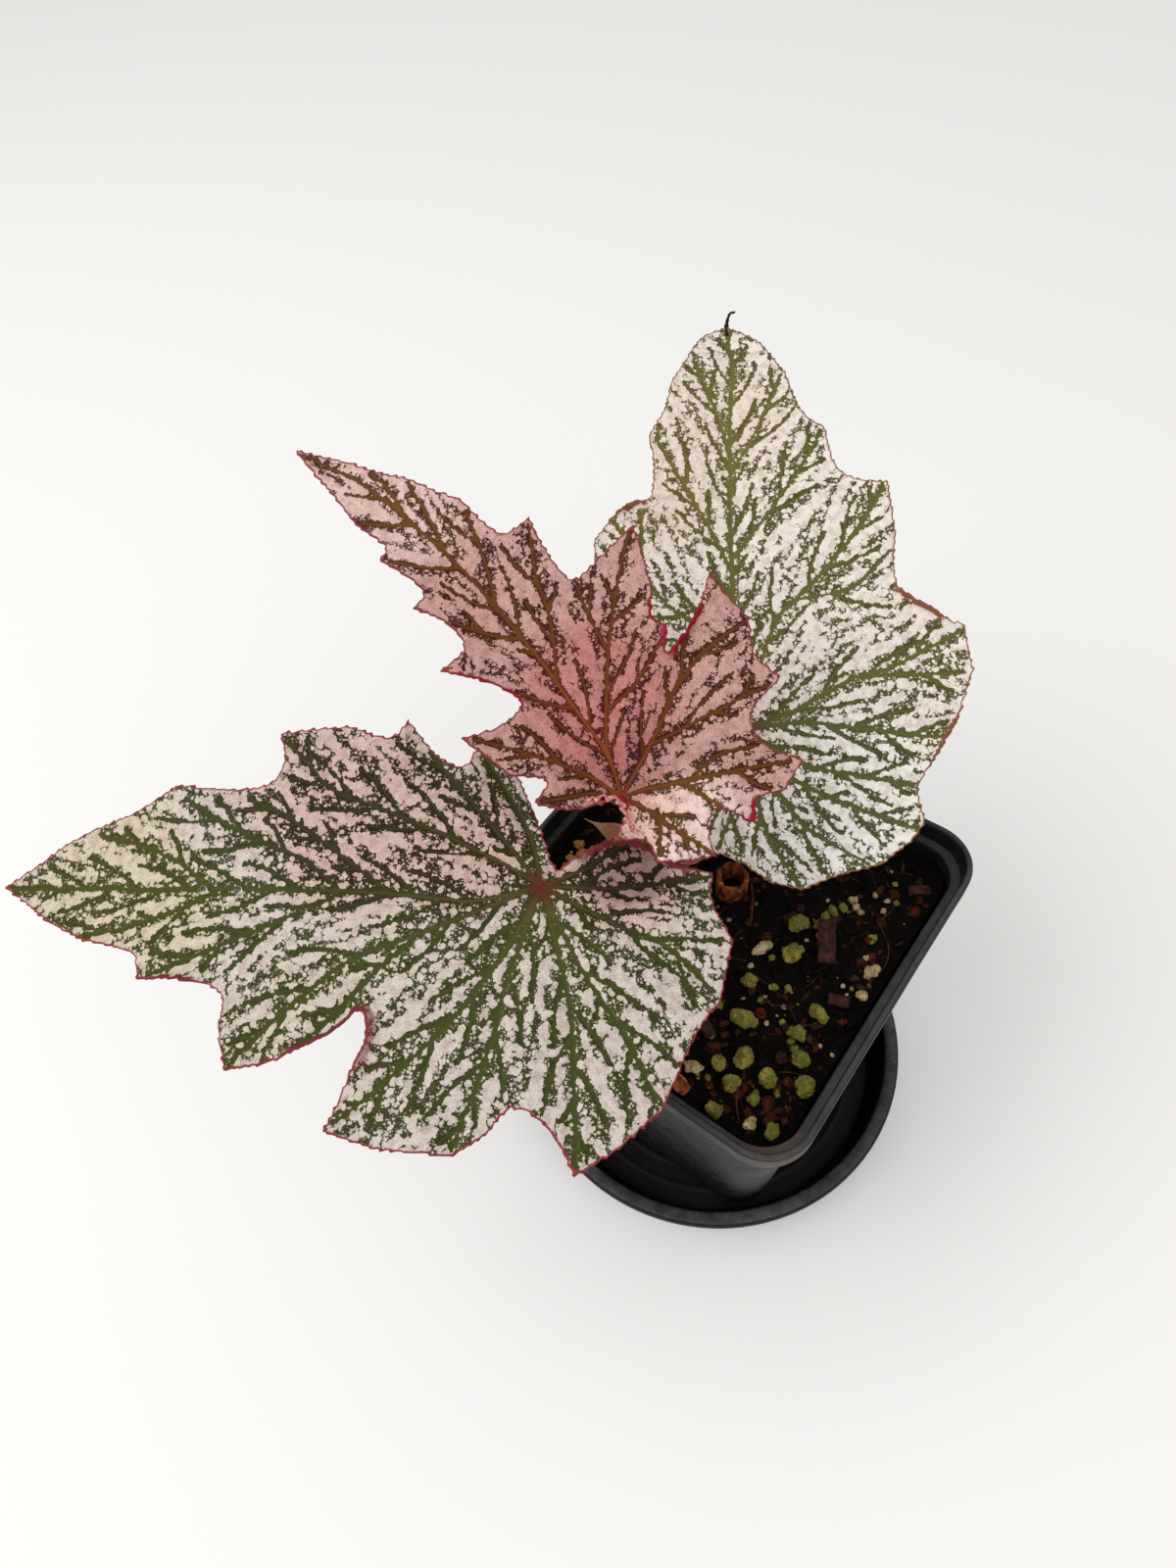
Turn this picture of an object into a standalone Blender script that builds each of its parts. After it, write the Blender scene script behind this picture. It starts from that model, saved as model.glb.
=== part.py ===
"""A young begonia in a square nursery pot that stands on a round saucer.

The origin is the centre of the saucer's underside, +Z is up, and the pot's sides lie along X and Y.
Lengths are written in millimetres and multiplied by MM.
"""

import math

import bmesh
import bpy
from mathutils import Matrix, Vector, noise
from mathutils.geometry import delaunay_2d_cdt

MM = 0.001
GAP = 0.3  # clearance between two pieces that touch

# Saucer
SAUCER_RIM_RADIUS = 58.0
SAUCER_HEIGHT = 16.0
SAUCER_FLOOR = 2.0
SAUCER_FLOOR_RADIUS = 50.0
SAUCER_LIP = 5.0
SAUCER_WALL = 1.6

# Pot
POT_SIDE = 100.0
POT_HEIGHT = 100.0
POT_CORNER = 12.2
POT_LIP = 1.8
POT_COLLAR = 6.0
POT_LEDGE = 2.5
POT_WALL = 1.4
POT_FLOOR = 2.0
POT_BASE_SIDE = 74.0
POT_FOOT = SAUCER_FLOOR + GAP
POT_RIM = POT_FOOT + POT_HEIGHT
DRAIN_RADIUS = 4.5
DRAIN_SPACING = 40.0
CORNER_STEPS = 6

# Soil
SOIL_TOP = 94.0
SOIL_ROLL = 0.8
SOIL_MOUND = 2.0
SOIL_GRID = 7.0

# Stem and leaf stalks
STEM_FOOT = Vector((-20.0, 6.0, SOIL_TOP - 16.0))
STEM_TOP = Vector((-18.0, 1.0, 118.0))
STEM_RADIUS = 4.4
STUB_PLACE = (0.2, 8.7)
STUB_TOP = 100.5
STUB_DEPTH = 12.0
STUB_RADIUS = 4.2
STUB_BORE = 3.1

# Leaf blades
BLADE = 0.8
BLADE_STEP = 4.5  # spacing of the points along a blade's margin
TIP = 1  # the margin is pointed here
BEND = 0  # the margin runs through smoothly here


def clear_scene():
    for obj in list(bpy.data.objects):
        bpy.data.objects.remove(obj, do_unlink=True)


def collection(name):
    made = bpy.data.collections.new(name)
    bpy.context.scene.collection.children.link(made)
    return made


def material(name, colour, roughness):
    made = bpy.data.materials.new(name)
    made.use_nodes = True
    shader = made.node_tree.nodes["Principled BSDF"]
    shader.inputs["Base Color"].default_value = (*colour, 1.0)
    shader.inputs["Roughness"].default_value = roughness
    return made


def add_object(name, data, skin, group):
    obj = bpy.data.objects.new(name, data)
    data.materials.append(skin)
    group.objects.link(obj)
    return obj


def mesh_from(name, bm, smooth=True):
    bmesh.ops.recalc_face_normals(bm, faces=bm.faces)
    mesh = bpy.data.meshes.new(name)
    bm.to_mesh(mesh)
    bm.free()
    if smooth:
        mesh.shade_smooth()
        mesh.set_sharp_from_angle(angle=math.radians(35))
    return mesh


def rounded_square(half, corner):
    """The points of a square with round corners, anticlockwise, about the origin."""
    points = []
    for quarter in range(4):
        turn = quarter * math.pi / 2
        centre = Vector((half - corner, half - corner)) @ Matrix.Rotation(-turn, 2)
        for step in range(CORNER_STEPS + 1):
            angle = turn + step * math.pi / 2 / CORNER_STEPS
            points.append(centre + corner * Vector((math.cos(angle), math.sin(angle))))
    return points


def ring(bm, half, corner, height):
    return [bm.verts.new((p.x * MM, p.y * MM, height * MM)) for p in rounded_square(half, corner)]


def bridge(bm, lower, upper):
    for i, vert in enumerate(lower):
        after = (i + 1) % len(lower)
        bm.faces.new((vert, lower[after], upper[after], upper[i]))


def turned(name, profile, steps, skin, group):
    """A profile of (radius, height) points turned round Z. It runs from the inside over the top and down."""
    bm = bmesh.new()
    points = [bm.verts.new((radius * MM, 0, height * MM)) for radius, height in profile]
    for first, second in zip(points, points[1:]):
        bm.edges.new((first, second))
    mesh = bpy.data.meshes.new(name)
    bm.to_mesh(mesh)
    bm.free()
    obj = add_object(name, mesh, skin, group)
    screw = obj.modifiers.new("turn", "SCREW")
    screw.steps = steps
    screw.render_steps = steps
    screw.use_merge_vertices = True
    screw.merge_threshold = 0.00001
    screw.use_smooth_shade = True
    return obj


def tube(name, points, radii, skin, group):
    """A round stalk along the points, with its own radius at each."""
    curve = bpy.data.curves.new(name, "CURVE")
    curve.dimensions = "3D"
    curve.bevel_depth = 1.0 * MM
    curve.bevel_resolution = 3
    curve.use_fill_caps = True
    line = curve.splines.new("POLY")
    line.points.add(len(points) - 1)
    for place, centre, radius in zip(line.points, points, radii):
        place.co = (*(centre * MM), 1.0)
        place.radius = radius
    return add_object(name, curve, skin, group)


def smooth_path(points, steps):
    """Points of a smooth curve through the given ones."""
    ends = [2 * points[0] - points[1], *points, 2 * points[-1] - points[-2]]
    path = []
    for before, start, end, after in zip(ends, ends[1:], ends[2:], ends[3:]):
        for step in range(steps):
            t = step / steps
            path.append(
                0.5
                * (
                    2 * start
                    + (end - before) * t
                    + (2 * before - 5 * start + 4 * end - after) * t * t
                    + (3 * start - before - 3 * end + after) * t**3
                )
            )
    return [*path, points[-1]]


def make_saucer(group, skin):
    lip_start = SAUCER_RIM_RADIUS - SAUCER_LIP
    profile = [
        (0.0, SAUCER_FLOOR),
        (SAUCER_FLOOR_RADIUS, SAUCER_FLOOR),
        (SAUCER_FLOOR_RADIUS + 1.2, SAUCER_FLOOR + 1.2),
        (lip_start - 0.4, SAUCER_HEIGHT - 0.8),
        (lip_start + 0.6, SAUCER_HEIGHT),
        (SAUCER_RIM_RADIUS - 0.8, SAUCER_HEIGHT),
        (SAUCER_RIM_RADIUS, SAUCER_HEIGHT - 0.8),
        (SAUCER_RIM_RADIUS, SAUCER_HEIGHT - 2.6),
        (SAUCER_RIM_RADIUS - 1.0, SAUCER_HEIGHT - 2.6),
        (SAUCER_RIM_RADIUS - 1.4, SAUCER_HEIGHT - SAUCER_WALL),
        (lip_start + SAUCER_WALL, SAUCER_HEIGHT - SAUCER_WALL - 0.4),
        (SAUCER_FLOOR_RADIUS + SAUCER_WALL + 0.6, 1.4),
        (SAUCER_FLOOR_RADIUS + 0.6, 0.0),
        (0.0, 0.0),
    ]
    turned("saucer", profile, 56, skin, group)


def pot_half(height):
    """Half of the pot body's outer side at this height above its foot."""
    shoulder = POT_HEIGHT - POT_COLLAR
    top = POT_SIDE / 2 - POT_LEDGE - 0.3
    base = POT_BASE_SIDE / 2
    return base + (top - base) * min(height / shoulder, 1.0)


def make_pot(group, cutters, skin):
    shoulder = POT_HEIGHT - POT_COLLAR
    rim = POT_SIDE / 2
    inner_rim = rim - POT_LIP
    inner_foot = pot_half(POT_FLOOR) - POT_WALL
    sections = [
        (pot_half(0) - 1.0, POT_CORNER - 3.5, 0.0),
        (pot_half(1.0), POT_CORNER - 3.0, 1.0),
        (pot_half(shoulder), POT_CORNER - 1.0, shoulder - 0.3),
        (rim - 0.5, POT_CORNER - 0.4, shoulder - 0.3),
        (rim - 0.3, POT_CORNER - 0.2, shoulder + 0.6),
        (rim, POT_CORNER, POT_HEIGHT - 0.6),
        (rim - 0.5, POT_CORNER - 0.5, POT_HEIGHT),
        (inner_rim + 0.4, POT_CORNER - POT_LIP + 0.4, POT_HEIGHT),
        (inner_rim, POT_CORNER - POT_LIP, POT_HEIGHT - 0.5),
        (inner_rim - 0.3, POT_CORNER - POT_LIP, shoulder + 1.2),
        (pot_half(shoulder) - POT_WALL, POT_CORNER - 2.6, shoulder + 0.8),
        (pot_half(shoulder) - POT_WALL - 0.2, POT_CORNER - 2.8, shoulder - 0.8),
        (inner_foot + 0.2, POT_CORNER - 4.4, POT_FLOOR + 0.8),
        (inner_foot - 0.6, POT_CORNER - 5.2, POT_FLOOR),
    ]
    bm = bmesh.new()
    rings = [ring(bm, half, corner, POT_FOOT + height) for half, corner, height in sections]
    for lower, upper in zip(rings, rings[1:]):
        bridge(bm, lower, upper)
    bm.faces.new(reversed(rings[0]))
    bm.faces.new(rings[-1])
    pot = add_object("pot", mesh_from("pot", bm), skin, group)
    drains = bmesh.new()
    half = DRAIN_SPACING / 2
    places = [(0, 0), (half, half), (-half, half), (-half, -half), (half, -half)]
    for x, y in places:
        bmesh.ops.create_cone(
            drains,
            cap_ends=True,
            segments=16,
            radius1=DRAIN_RADIUS * MM,
            radius2=DRAIN_RADIUS * MM,
            depth=4 * POT_FLOOR * MM,
            matrix=Matrix.Translation(Vector((x, y, POT_FOOT + POT_FLOOR / 2)) * MM),
        )
    cut(pot, add_object("drain_cutter", mesh_from("drain_cutter", drains), skin, cutters))


def cut(obj, cutter):
    cutter.hide_render = True
    cutter.display_type = "WIRE"
    hole = obj.modifiers.new(cutter.name, "BOOLEAN")
    hole.operation = "DIFFERENCE"
    hole.solver = "EXACT"
    hole.object = cutter


def soil_height(x, y):
    """The soil's surface: a slow roll, and a low mound round the stem."""
    roll = SOIL_ROLL * math.sin(x / 17 + 0.5) * math.cos(y / 15)
    away = math.hypot(x - STEM_FOOT.x, y - STEM_FOOT.y)
    return SOIL_TOP + roll + SOIL_MOUND * math.exp(-((away / 14) ** 2))


def filled(outline, spacing):
    """Points and triangles that fill a closed outline, with inner points at the given spacing."""
    count = len(outline)
    points = list(outline)
    edges = [(i, (i + 1) % count) for i in range(count)]
    low = Vector((min(p.x for p in outline), min(p.y for p in outline)))
    high = Vector((max(p.x for p in outline), max(p.y for p in outline)))
    rows = int((high.y - low.y) / (spacing * 0.866)) + 1
    columns = int((high.x - low.x) / spacing) + 1
    for row in range(rows):
        for column in range(columns):
            shift = 0.5 if row % 2 else 0.0
            point = low + Vector(((column + shift) * spacing, row * spacing * 0.866))
            if inside(point, outline) and margin_distance(point, outline) > 0.55 * spacing:
                points.append(point)
    verts, _, faces, _, _, _ = delaunay_2d_cdt(points, edges, [], 1, 1e-5)
    return verts, faces


def inside(point, outline):
    within = False
    for start, end in zip(outline, [*outline[1:], outline[0]]):
        if (start.y > point.y) != (end.y > point.y):
            crossing = start.x + (point.y - start.y) / (end.y - start.y) * (end.x - start.x)
            if point.x < crossing:
                within = not within
    return within


def margin_distance(point, outline):
    nearest = math.inf
    for start, end in zip(outline, [*outline[1:], outline[0]]):
        side = end - start
        t = max(0.0, min(1.0, (point - start).dot(side) / max(side.length_squared, 1e-9)))
        nearest = min(nearest, (point - start - side * t).length)
    return nearest


def make_soil(group, cutters, skin):
    shoulder = POT_HEIGHT - POT_COLLAR
    base_half = pot_half(POT_FLOOR) - POT_WALL - 1.0
    top_half = pot_half(shoulder) - POT_WALL - 0.7
    foot = POT_FOOT + POT_FLOOR + GAP
    full = (SOIL_TOP - 1.5 - foot) / (shoulder - POT_FLOOR)
    under_top = base_half + (top_half - base_half) * full
    corner = POT_CORNER - 4.4
    bm = bmesh.new()
    base = ring(bm, base_half - 0.6, corner, foot)
    waist = ring(bm, base_half + 0.2, corner, foot + 1.5)
    outline = rounded_square(under_top, corner)
    verts, faces = filled(outline, SOIL_GRID)
    top = [bm.verts.new((p.x * MM, p.y * MM, soil_height(p.x, p.y) * MM)) for p in verts]
    for face in faces:
        bm.faces.new([top[i] for i in face])
    bridge(bm, base, waist)
    bridge(bm, waist, top[: len(outline)])
    bm.faces.new(reversed(base))
    soil = add_object("soil", mesh_from("soil", bm), skin, group)
    pockets = (
        ("stem_pocket", STEM_FOOT, STEM_RADIUS),
        ("stub_pocket", Vector((*STUB_PLACE, SOIL_TOP - STUB_DEPTH)), STUB_RADIUS),
    )
    for name, bottom, radius in pockets:
        depth = SOIL_TOP - bottom.z + 8
        hole = bmesh.new()
        bmesh.ops.create_cone(
            hole,
            cap_ends=True,
            segments=20,
            radius1=(radius + 0.5) * MM,
            radius2=(radius + 0.5) * MM,
            depth=(depth + GAP) * MM,
            matrix=Matrix.Translation((bottom + Vector((0, 0, depth / 2 - GAP))) * MM),
        )
        cut(soil, add_object(name, mesh_from(name, hole), skin, cutters))


def stem_axis(height):
    """The stem's centre at this height. It is upright in the soil and leans above it."""
    t = max(0.0, (height - SOIL_TOP) / (STEM_TOP.z - SOIL_TOP))
    place = STEM_FOOT.lerp(STEM_TOP, t)
    return Vector((place.x, place.y, height))


def make_stem(group, skin):
    heights = [STEM_FOOT.z, SOIL_TOP - 3, SOIL_TOP + 4, SOIL_TOP + 8, 106, 110, 114, STEM_TOP.z]
    swell = [0.75, 0.95, 1.0, 0.9, 1.0, 0.86, 0.92, 0.7]
    points = [stem_axis(height) for height in heights]
    tube("stem", points, [STEM_RADIUS * share for share in swell], skin, group)


def make_stub(group, skin):
    bottom = SOIL_TOP - STUB_DEPTH
    profile = [
        (0.0, STUB_TOP - 9),
        (STUB_BORE - 0.3, STUB_TOP - 9),
        (STUB_BORE, STUB_TOP - 1),
        (STUB_BORE + 0.3, STUB_TOP),
        (STUB_RADIUS - 0.3, STUB_TOP - 0.1),
        (STUB_RADIUS, STUB_TOP - 0.8),
        (STUB_RADIUS - 0.2, SOIL_TOP),
        (STUB_RADIUS - 0.6, bottom),
        (0.0, bottom),
    ]
    stub = turned("dried_stem_stub", profile, 24, skin, group)
    stub.location = Vector((*STUB_PLACE, 0)) * MM


# Each blade is drawn flat about the top of its stalk: x runs along the midrib to the tip, and y to its left,
# seen from above. "base" and "tip" are the midrib's ends, "up" leans the blade, "arch" and "fold" bend it,
# and "stalk" holds the height and heading at which its stalk leaves the stem, and the stalk's end radii.
LEAVES = {
    "front": {
        "base": (-19, -38, 144),
        "tip": (-116, -104, 144),
        "up": (0.10, -0.24, 0.95),
        "arch": 5,
        "fold": (0.14, 12),
        "stalk": (107, -95, 2.2, 1.7),
        "margin": [
            (118, 0, TIP), (107, -7, BEND), (98, -12, TIP), (89, -15, TIP), (79, -21, TIP),
            (70, -20, BEND), (59, -21, BEND), (56, -26, BEND), (57, -32, TIP), (49, -33, TIP),
            (42, -34, TIP), (33, -31, BEND), (29, -35, TIP), (23, -28, BEND), (17, -25, BEND),
            (14, -29, TIP), (6, -25, TIP), (1, -14, BEND), (-3, -4, BEND), (-7, -6, BEND),
            (-16, -10, BEND), (-22, -9, BEND), (-28, -6, BEND), (-36, -5, TIP), (-36, 2, BEND),
            (-40, 10, TIP), (-37, 23, TIP), (-32, 30, BEND), (-25, 45, TIP), (-17, 52, TIP),
            (-9, 57, TIP), (-4, 49, BEND), (3, 45, BEND), (8, 50, BEND), (14, 54, TIP),
            (28, 53, TIP), (38, 50, TIP), (35, 41, BEND), (32, 33, BEND), (34, 27, BEND),
            (40, 32, BEND), (50, 37, BEND), (59, 39, TIP), (62, 31, TIP), (63, 24, BEND),
            (71, 21, BEND), (81, 21, TIP), (83, 16, BEND), (88, 14, TIP), (97, 12, TIP),
            (107, 7, BEND),
        ],
    },
    "middle": {
        "base": (-11, -18, 160),
        "tip": (-104, -4, 197),
        "up": (0.16, -0.22, 0.95),
        "arch": 5,
        "fold": (0.20, 8),
        "stalk": (118, -70, 2.0, 1.5),
        "margin": [
            (102, 0, TIP), (95, -5, TIP), (88, -8, TIP), (79, -12, TIP), (73, -14, BEND),
            (67, -17, TIP), (60, -17, BEND), (55, -18, BEND), (54, -24, TIP), (48, -22, BEND),
            (42, -21, BEND), (38, -22, BEND), (38, -30, BEND), (38, -38, TIP), (32, -35, BEND),
            (26, -32, TIP), (22, -28, BEND), (18, -28, TIP), (14, -25, BEND), (15, -33, BEND),
            (20, -42, TIP), (8, -42, TIP), (2, -38, BEND), (-5, -39, TIP), (-6, -30, BEND),
            (-12, -28, BEND), (-20, -32, TIP), (-22, -25, TIP), (-19, -19, BEND), (-23, -16, TIP),
            (-16, -13, BEND), (-16, -9, BEND), (-22, -6, TIP), (-19, -1, BEND), (-15, 4, TIP),
            (-10, 3, BEND), (-6, 8, TIP), (-3, 2, BEND), (0, 1, BEND), (2, 6, BEND),
            (5, 11, BEND), (10, 15, TIP), (12, 10, BEND), (17, 15, TIP), (23, 16, BEND),
            (29, 17, TIP), (26, 9, BEND), (27, 3, BEND), (34, 5, BEND), (42, 11, TIP),
            (43, 4, BEND), (49, 3, BEND), (56, 6, TIP), (58, 2, BEND), (69, 4, TIP),
            (71, 1, BEND), (80, 2, TIP), (89, 1, TIP),
        ],
    },
    "back": {
        "base": (-10, 28, 133),
        "tip": (-70, 114, 174),
        "up": (0.06, -0.14, 0.98),
        "arch": 5,
        "fold": (0.10, 12),
        "stalk": (104, 65, 2.1, 1.7),
        "margin": [
            (112, 0, TIP), (109, 6, BEND), (101, 11, BEND), (94, 15, TIP), (85, 17, BEND),
            (77, 21, TIP), (69, 20, BEND), (59, 21, BEND), (57, 26, BEND), (54, 31, TIP),
            (48, 35, TIP), (38, 35, BEND), (27, 37, BEND), (16, 39, TIP), (8, 34, BEND),
            (0, 31, BEND), (-9, 32, TIP), (-14, 24, BEND), (-11, 16, BEND), (-5, 8, BEND),
            (-3, 3, BEND), (-8, 5, BEND), (-17, 11, BEND), (-24, 12, BEND), (-29, 8, TIP),
            (-32, 1, BEND), (-36, -5, TIP), (-38, -13, TIP), (-35, -22, BEND), (-33, -31, TIP),
            (-28, -38, TIP), (-24, -41, TIP), (-16, -40, BEND), (-9, -44, BEND), (-1, -49, TIP),
            (10, -53, TIP), (21, -52, TIP), (24, -46, BEND), (30, -38, BEND), (37, -37, BEND),
            (45, -38, TIP), (59, -37, TIP), (61, -30, BEND), (66, -25, BEND), (76, -23, TIP),
            (81, -18, BEND), (95, -14, TIP), (105, -8, BEND),
        ],
    },
}


def margin_points(margin, step):
    """The closed margin as points about one step apart, smooth except at its tips."""
    points = []
    count = len(margin)
    for i in range(count):
        x0, y0, start_kind = margin[i]
        x1, y1, end_kind = margin[(i + 1) % count]
        start = Vector((x0, y0))
        end = Vector((x1, y1))
        before = Vector(margin[i - 1][:2])
        after = Vector(margin[(i + 2) % count][:2])
        leaving = (end - start) if start_kind == TIP else (end - before) / 2
        arriving = (end - start) if end_kind == TIP else (after - start) / 2
        pieces = max(1, round((end - start).length / step))
        for piece in range(pieces):
            t = piece / pieces
            points.append(
                (2 * t**3 - 3 * t**2 + 1) * start
                + (t**3 - 2 * t**2 + t) * leaving
                + (3 * t**2 - 2 * t**3) * end
                + (t**3 - t**2) * arriving
            )
    return points


class Blade:
    """Where a leaf's flat drawing lies in space."""

    def __init__(self, leaf):
        self.base = Vector(leaf["base"])
        along = Vector(leaf["tip"]) - self.base
        self.length = along.length
        self.along = along.normalized()
        up = Vector(leaf["up"])
        self.up = (up - up.dot(self.along) * self.along).normalized()
        self.left = self.up.cross(self.along)
        self.arch = leaf["arch"]
        self.fold, self.crease = leaf["fold"]

    def height(self, x, y):
        share = max(x / self.length, -0.45)
        side = math.hypot(y, self.crease) - self.crease
        return 4 * self.arch * share * (1 - share) + self.fold * side

    def place(self, x, y, lift=0.0):
        height = self.height(x, y) + lift
        return self.base + x * self.along + y * self.left + height * self.up

    def normal_at_base(self):
        forward = self.place(1, 0) - self.place(-1, 0)
        left = self.place(0, 1) - self.place(0, -1)
        return forward.cross(left).normalized()


def sheet(name, points, faces, place, thickness, skin, group):
    """A thin blade: an open surface with an even thickness."""
    bm = bmesh.new()
    verts = [bm.verts.new(place(p.x, p.y) * MM) for p in points]
    for face in faces:
        bm.faces.new([verts[i] for i in face])
    mesh = mesh_from(name, bm)
    obj = add_object(name, mesh, skin, group)
    solid = obj.modifiers.new("thickness", "SOLIDIFY")
    solid.thickness = thickness * MM
    solid.offset = 0.0
    return obj


def make_leaf(kind, leaf, group, skins):
    blade = Blade(leaf)
    outline = margin_points(leaf["margin"], BLADE_STEP)
    points, faces = filled(outline, BLADE_STEP * 1.35)
    sheet(f"leaf_{kind}", points, faces, blade.place, BLADE, skins[f"leaf_{kind}"], group)
    make_leaf_stalk(kind, leaf["stalk"], blade, skins["stalk"], group)


def make_leaf_stalk(kind, stalk, blade, skin, group):
    """A stalk that leaves the stem square on, at a height and heading, and meets its blade square on."""
    height, heading, start_radius, end_radius = stalk
    turn = math.radians(heading)
    outward = Vector((math.cos(turn), math.sin(turn), 0.0))
    start = stem_axis(height) + outward * (STEM_RADIUS + GAP)
    if height >= STEM_TOP.z:
        outward = (STEM_TOP - stem_axis(SOIL_TOP)).normalized()
        start = STEM_TOP + outward * GAP
    normal = blade.normal_at_base()
    end = blade.base - normal * (BLADE / 2 + 2 * GAP)
    neck = end - normal * 7
    collar = start + outward * 1.5
    start_bend = collar + outward * 3 + Vector((0, 0, 4))
    middle = start_bend.lerp(neck, 0.5)
    path = [start, *smooth_path([collar, start_bend, middle, neck, end], 3)]
    radii = [start_radius + (end_radius - start_radius) * i / (len(path) - 1) for i in range(len(path))]
    tube(f"leaf_stalk_{kind}", path, radii, skin, group)


def make_stipules(group, skin):
    """Papery bracts at the foot of the leaf stalks, drawn flat like the leaves."""
    stipules = {
        "stipule_upper": {
            "base": (-21.3, -2.7, 114),
            "tip": (-24.5, -16.0, 137),
            "up": (0.9, -0.3, 0.2),
            "arch": 0.8,
            "fold": (0.25, 1.5),
            "margin": [
                (26, 0, TIP), (15, 2, BEND), (5, 4, BEND), (0, 1, BEND),
                (0, -1, BEND), (5, -4, BEND), (15, -2, BEND),
            ],
        },
        "stipule_lower": {
            "base": (-15.3, 7.2, 99.0),
            "tip": (-7.5, 9.5, 101.5),
            "up": (-0.2, -0.5, 0.85),
            "arch": 1.0,
            "fold": (0.2, 1.5),
            "margin": [
                (8, 0, TIP), (5, 2.4, BEND), (1, 2.8, BEND), (0, 1, BEND),
                (0, -1, BEND), (1, -2.8, BEND), (5, -2.4, BEND),
            ],
        },
    }
    for name, stipule in stipules.items():
        blade = Blade(stipule)
        outline = margin_points(stipule["margin"], 2.0)
        points, faces = filled(outline, 2.2)
        sheet(name, points, faces, blade.place, 0.5, skin, group)


# Loose grains on the soil: x, y, length, width, height and heading
GRAINS = [
    (18, -12, 4.6, 4.0, 3.2, 20),
    (27, -29, 5.8, 4.8, 3.6, 80),
    (22, -21, 7.4, 4.6, 3.8, 15),
    (18.5, -37.4, 4.6, 3.6, 3.2, 30),
    (23, -33, 4.2, 3.4, 2.8, 150),
    (28, -36, 4.8, 4.2, 3.4, 100),
    (34, -36, 3.4, 3.0, 2.6, 30),
    (34, -30, 5.0, 4.2, 3.2, 140),
    (36, -41, 3.4, 2.6, 2.4, 70),
    (34, -17, 4.6, 4.0, 3.4, 10),
    (38, -22, 5.0, 4.2, 3.4, 50),
    (42, -27, 5.6, 4.8, 3.8, 120),
    (36, -10, 6.0, 3.6, 3.2, 165),
    (23, 0, 6.6, 4.8, 4.0, 75),
    (20, 8, 5.6, 4.6, 3.8, 40),
    (16, -3, 6.2, 3.2, 2.8, 60),
    (28, -43, 4.4, 3.6, 3.2, 0),
    (41, -40, 4.6, 3.2, 3.0, 95),
    (41, 7, 4.6, 3.2, 3.0, 60),
    (42, 0, 3.0, 2.6, 2.6, 0),
]

# Flat chips of bark on the soil: x, y, length, width, thickness and heading
CHIPS = [
    (28, 8, 12.0, 4.6, 1.6, 118),
    (38, -4, 5.2, 3.0, 1.2, 20),
    (15, -27, 6.4, 3.0, 1.4, 150),
    (40, 34, 5.6, 2.6, 1.2, 35),
]


def make_grains(group, skin):
    for number, (x, y, length, width, height, heading) in enumerate(GRAINS, start=1):
        bm = bmesh.new()
        bmesh.ops.create_icosphere(bm, subdivisions=2, radius=1.0)
        for vert in bm.verts:
            wobble = noise.noise(vert.co * 1.3 + Vector((number * 5.1, 0, 0)))
            vert.co *= 1 + 0.22 * wobble
            vert.co.x *= length / 2
            vert.co.y *= width / 2
            vert.co.z *= height / 2
        lowest = min(vert.co.z for vert in bm.verts)
        bmesh.ops.rotate(bm, verts=bm.verts, matrix=Matrix.Rotation(math.radians(heading), 3, "Z"))
        rest = Vector((x, y, soil_height(x, y) + GAP + 0.25 - lowest))
        for vert in bm.verts:
            vert.co = (vert.co + rest) * MM
        name = f"grain_{number:02d}"
        add_object(name, mesh_from(name, bm), skin, group)


def make_chips(group, skin):
    for number, (x, y, length, width, thickness, heading) in enumerate(CHIPS, start=1):
        bm = bmesh.new()
        size = Matrix.Diagonal((length * MM, width * MM, thickness * MM, 1.0))
        bmesh.ops.create_cube(bm, size=1.0, matrix=size)
        name = f"bark_chip_{number}"
        chip = add_object(name, mesh_from(name, bm), skin, group)
        chip.location = Vector((x, y, soil_height(x, y) + GAP + 0.35 + thickness / 2)) * MM
        chip.rotation_euler.z = math.radians(heading)
        edge = chip.modifiers.new("worn edges", "BEVEL")
        edge.width = 0.4 * thickness * MM
        edge.segments = 2


def make_husk(group, skin):
    """A curled seed husk that lies on its back against the pot's wall."""
    radius = 1.8
    length = 6.0
    turn = Matrix.Rotation(math.radians(-12), 3, "Z")
    rest = Vector((17.5, -42.4, soil_height(17.5, -42.4) + GAP + 0.45))
    steps = 8
    bm = bmesh.new()
    rows = []
    for column in range(7):
        x = (column / 6 - 0.5) * length
        curl = radius * (1 - 0.35 * (2 * x / length) ** 2)
        row = []
        for step in range(steps + 1):
            angle = math.radians(200 + 150 * step / steps)
            point = Vector((x, curl * math.cos(angle), curl * (1 + math.sin(angle))))
            row.append(bm.verts.new((turn @ point + rest) * MM))
        rows.append(row)
    for first, second in zip(rows, rows[1:]):
        for i in range(steps):
            bm.faces.new((first[i], second[i], second[i + 1], first[i + 1]))
    husk = add_object("curled_husk", mesh_from("curled_husk", bm), skin, group)
    shell = husk.modifiers.new("thickness", "SOLIDIFY")
    shell.thickness = 0.5 * MM
    shell.offset = 0.0


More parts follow.
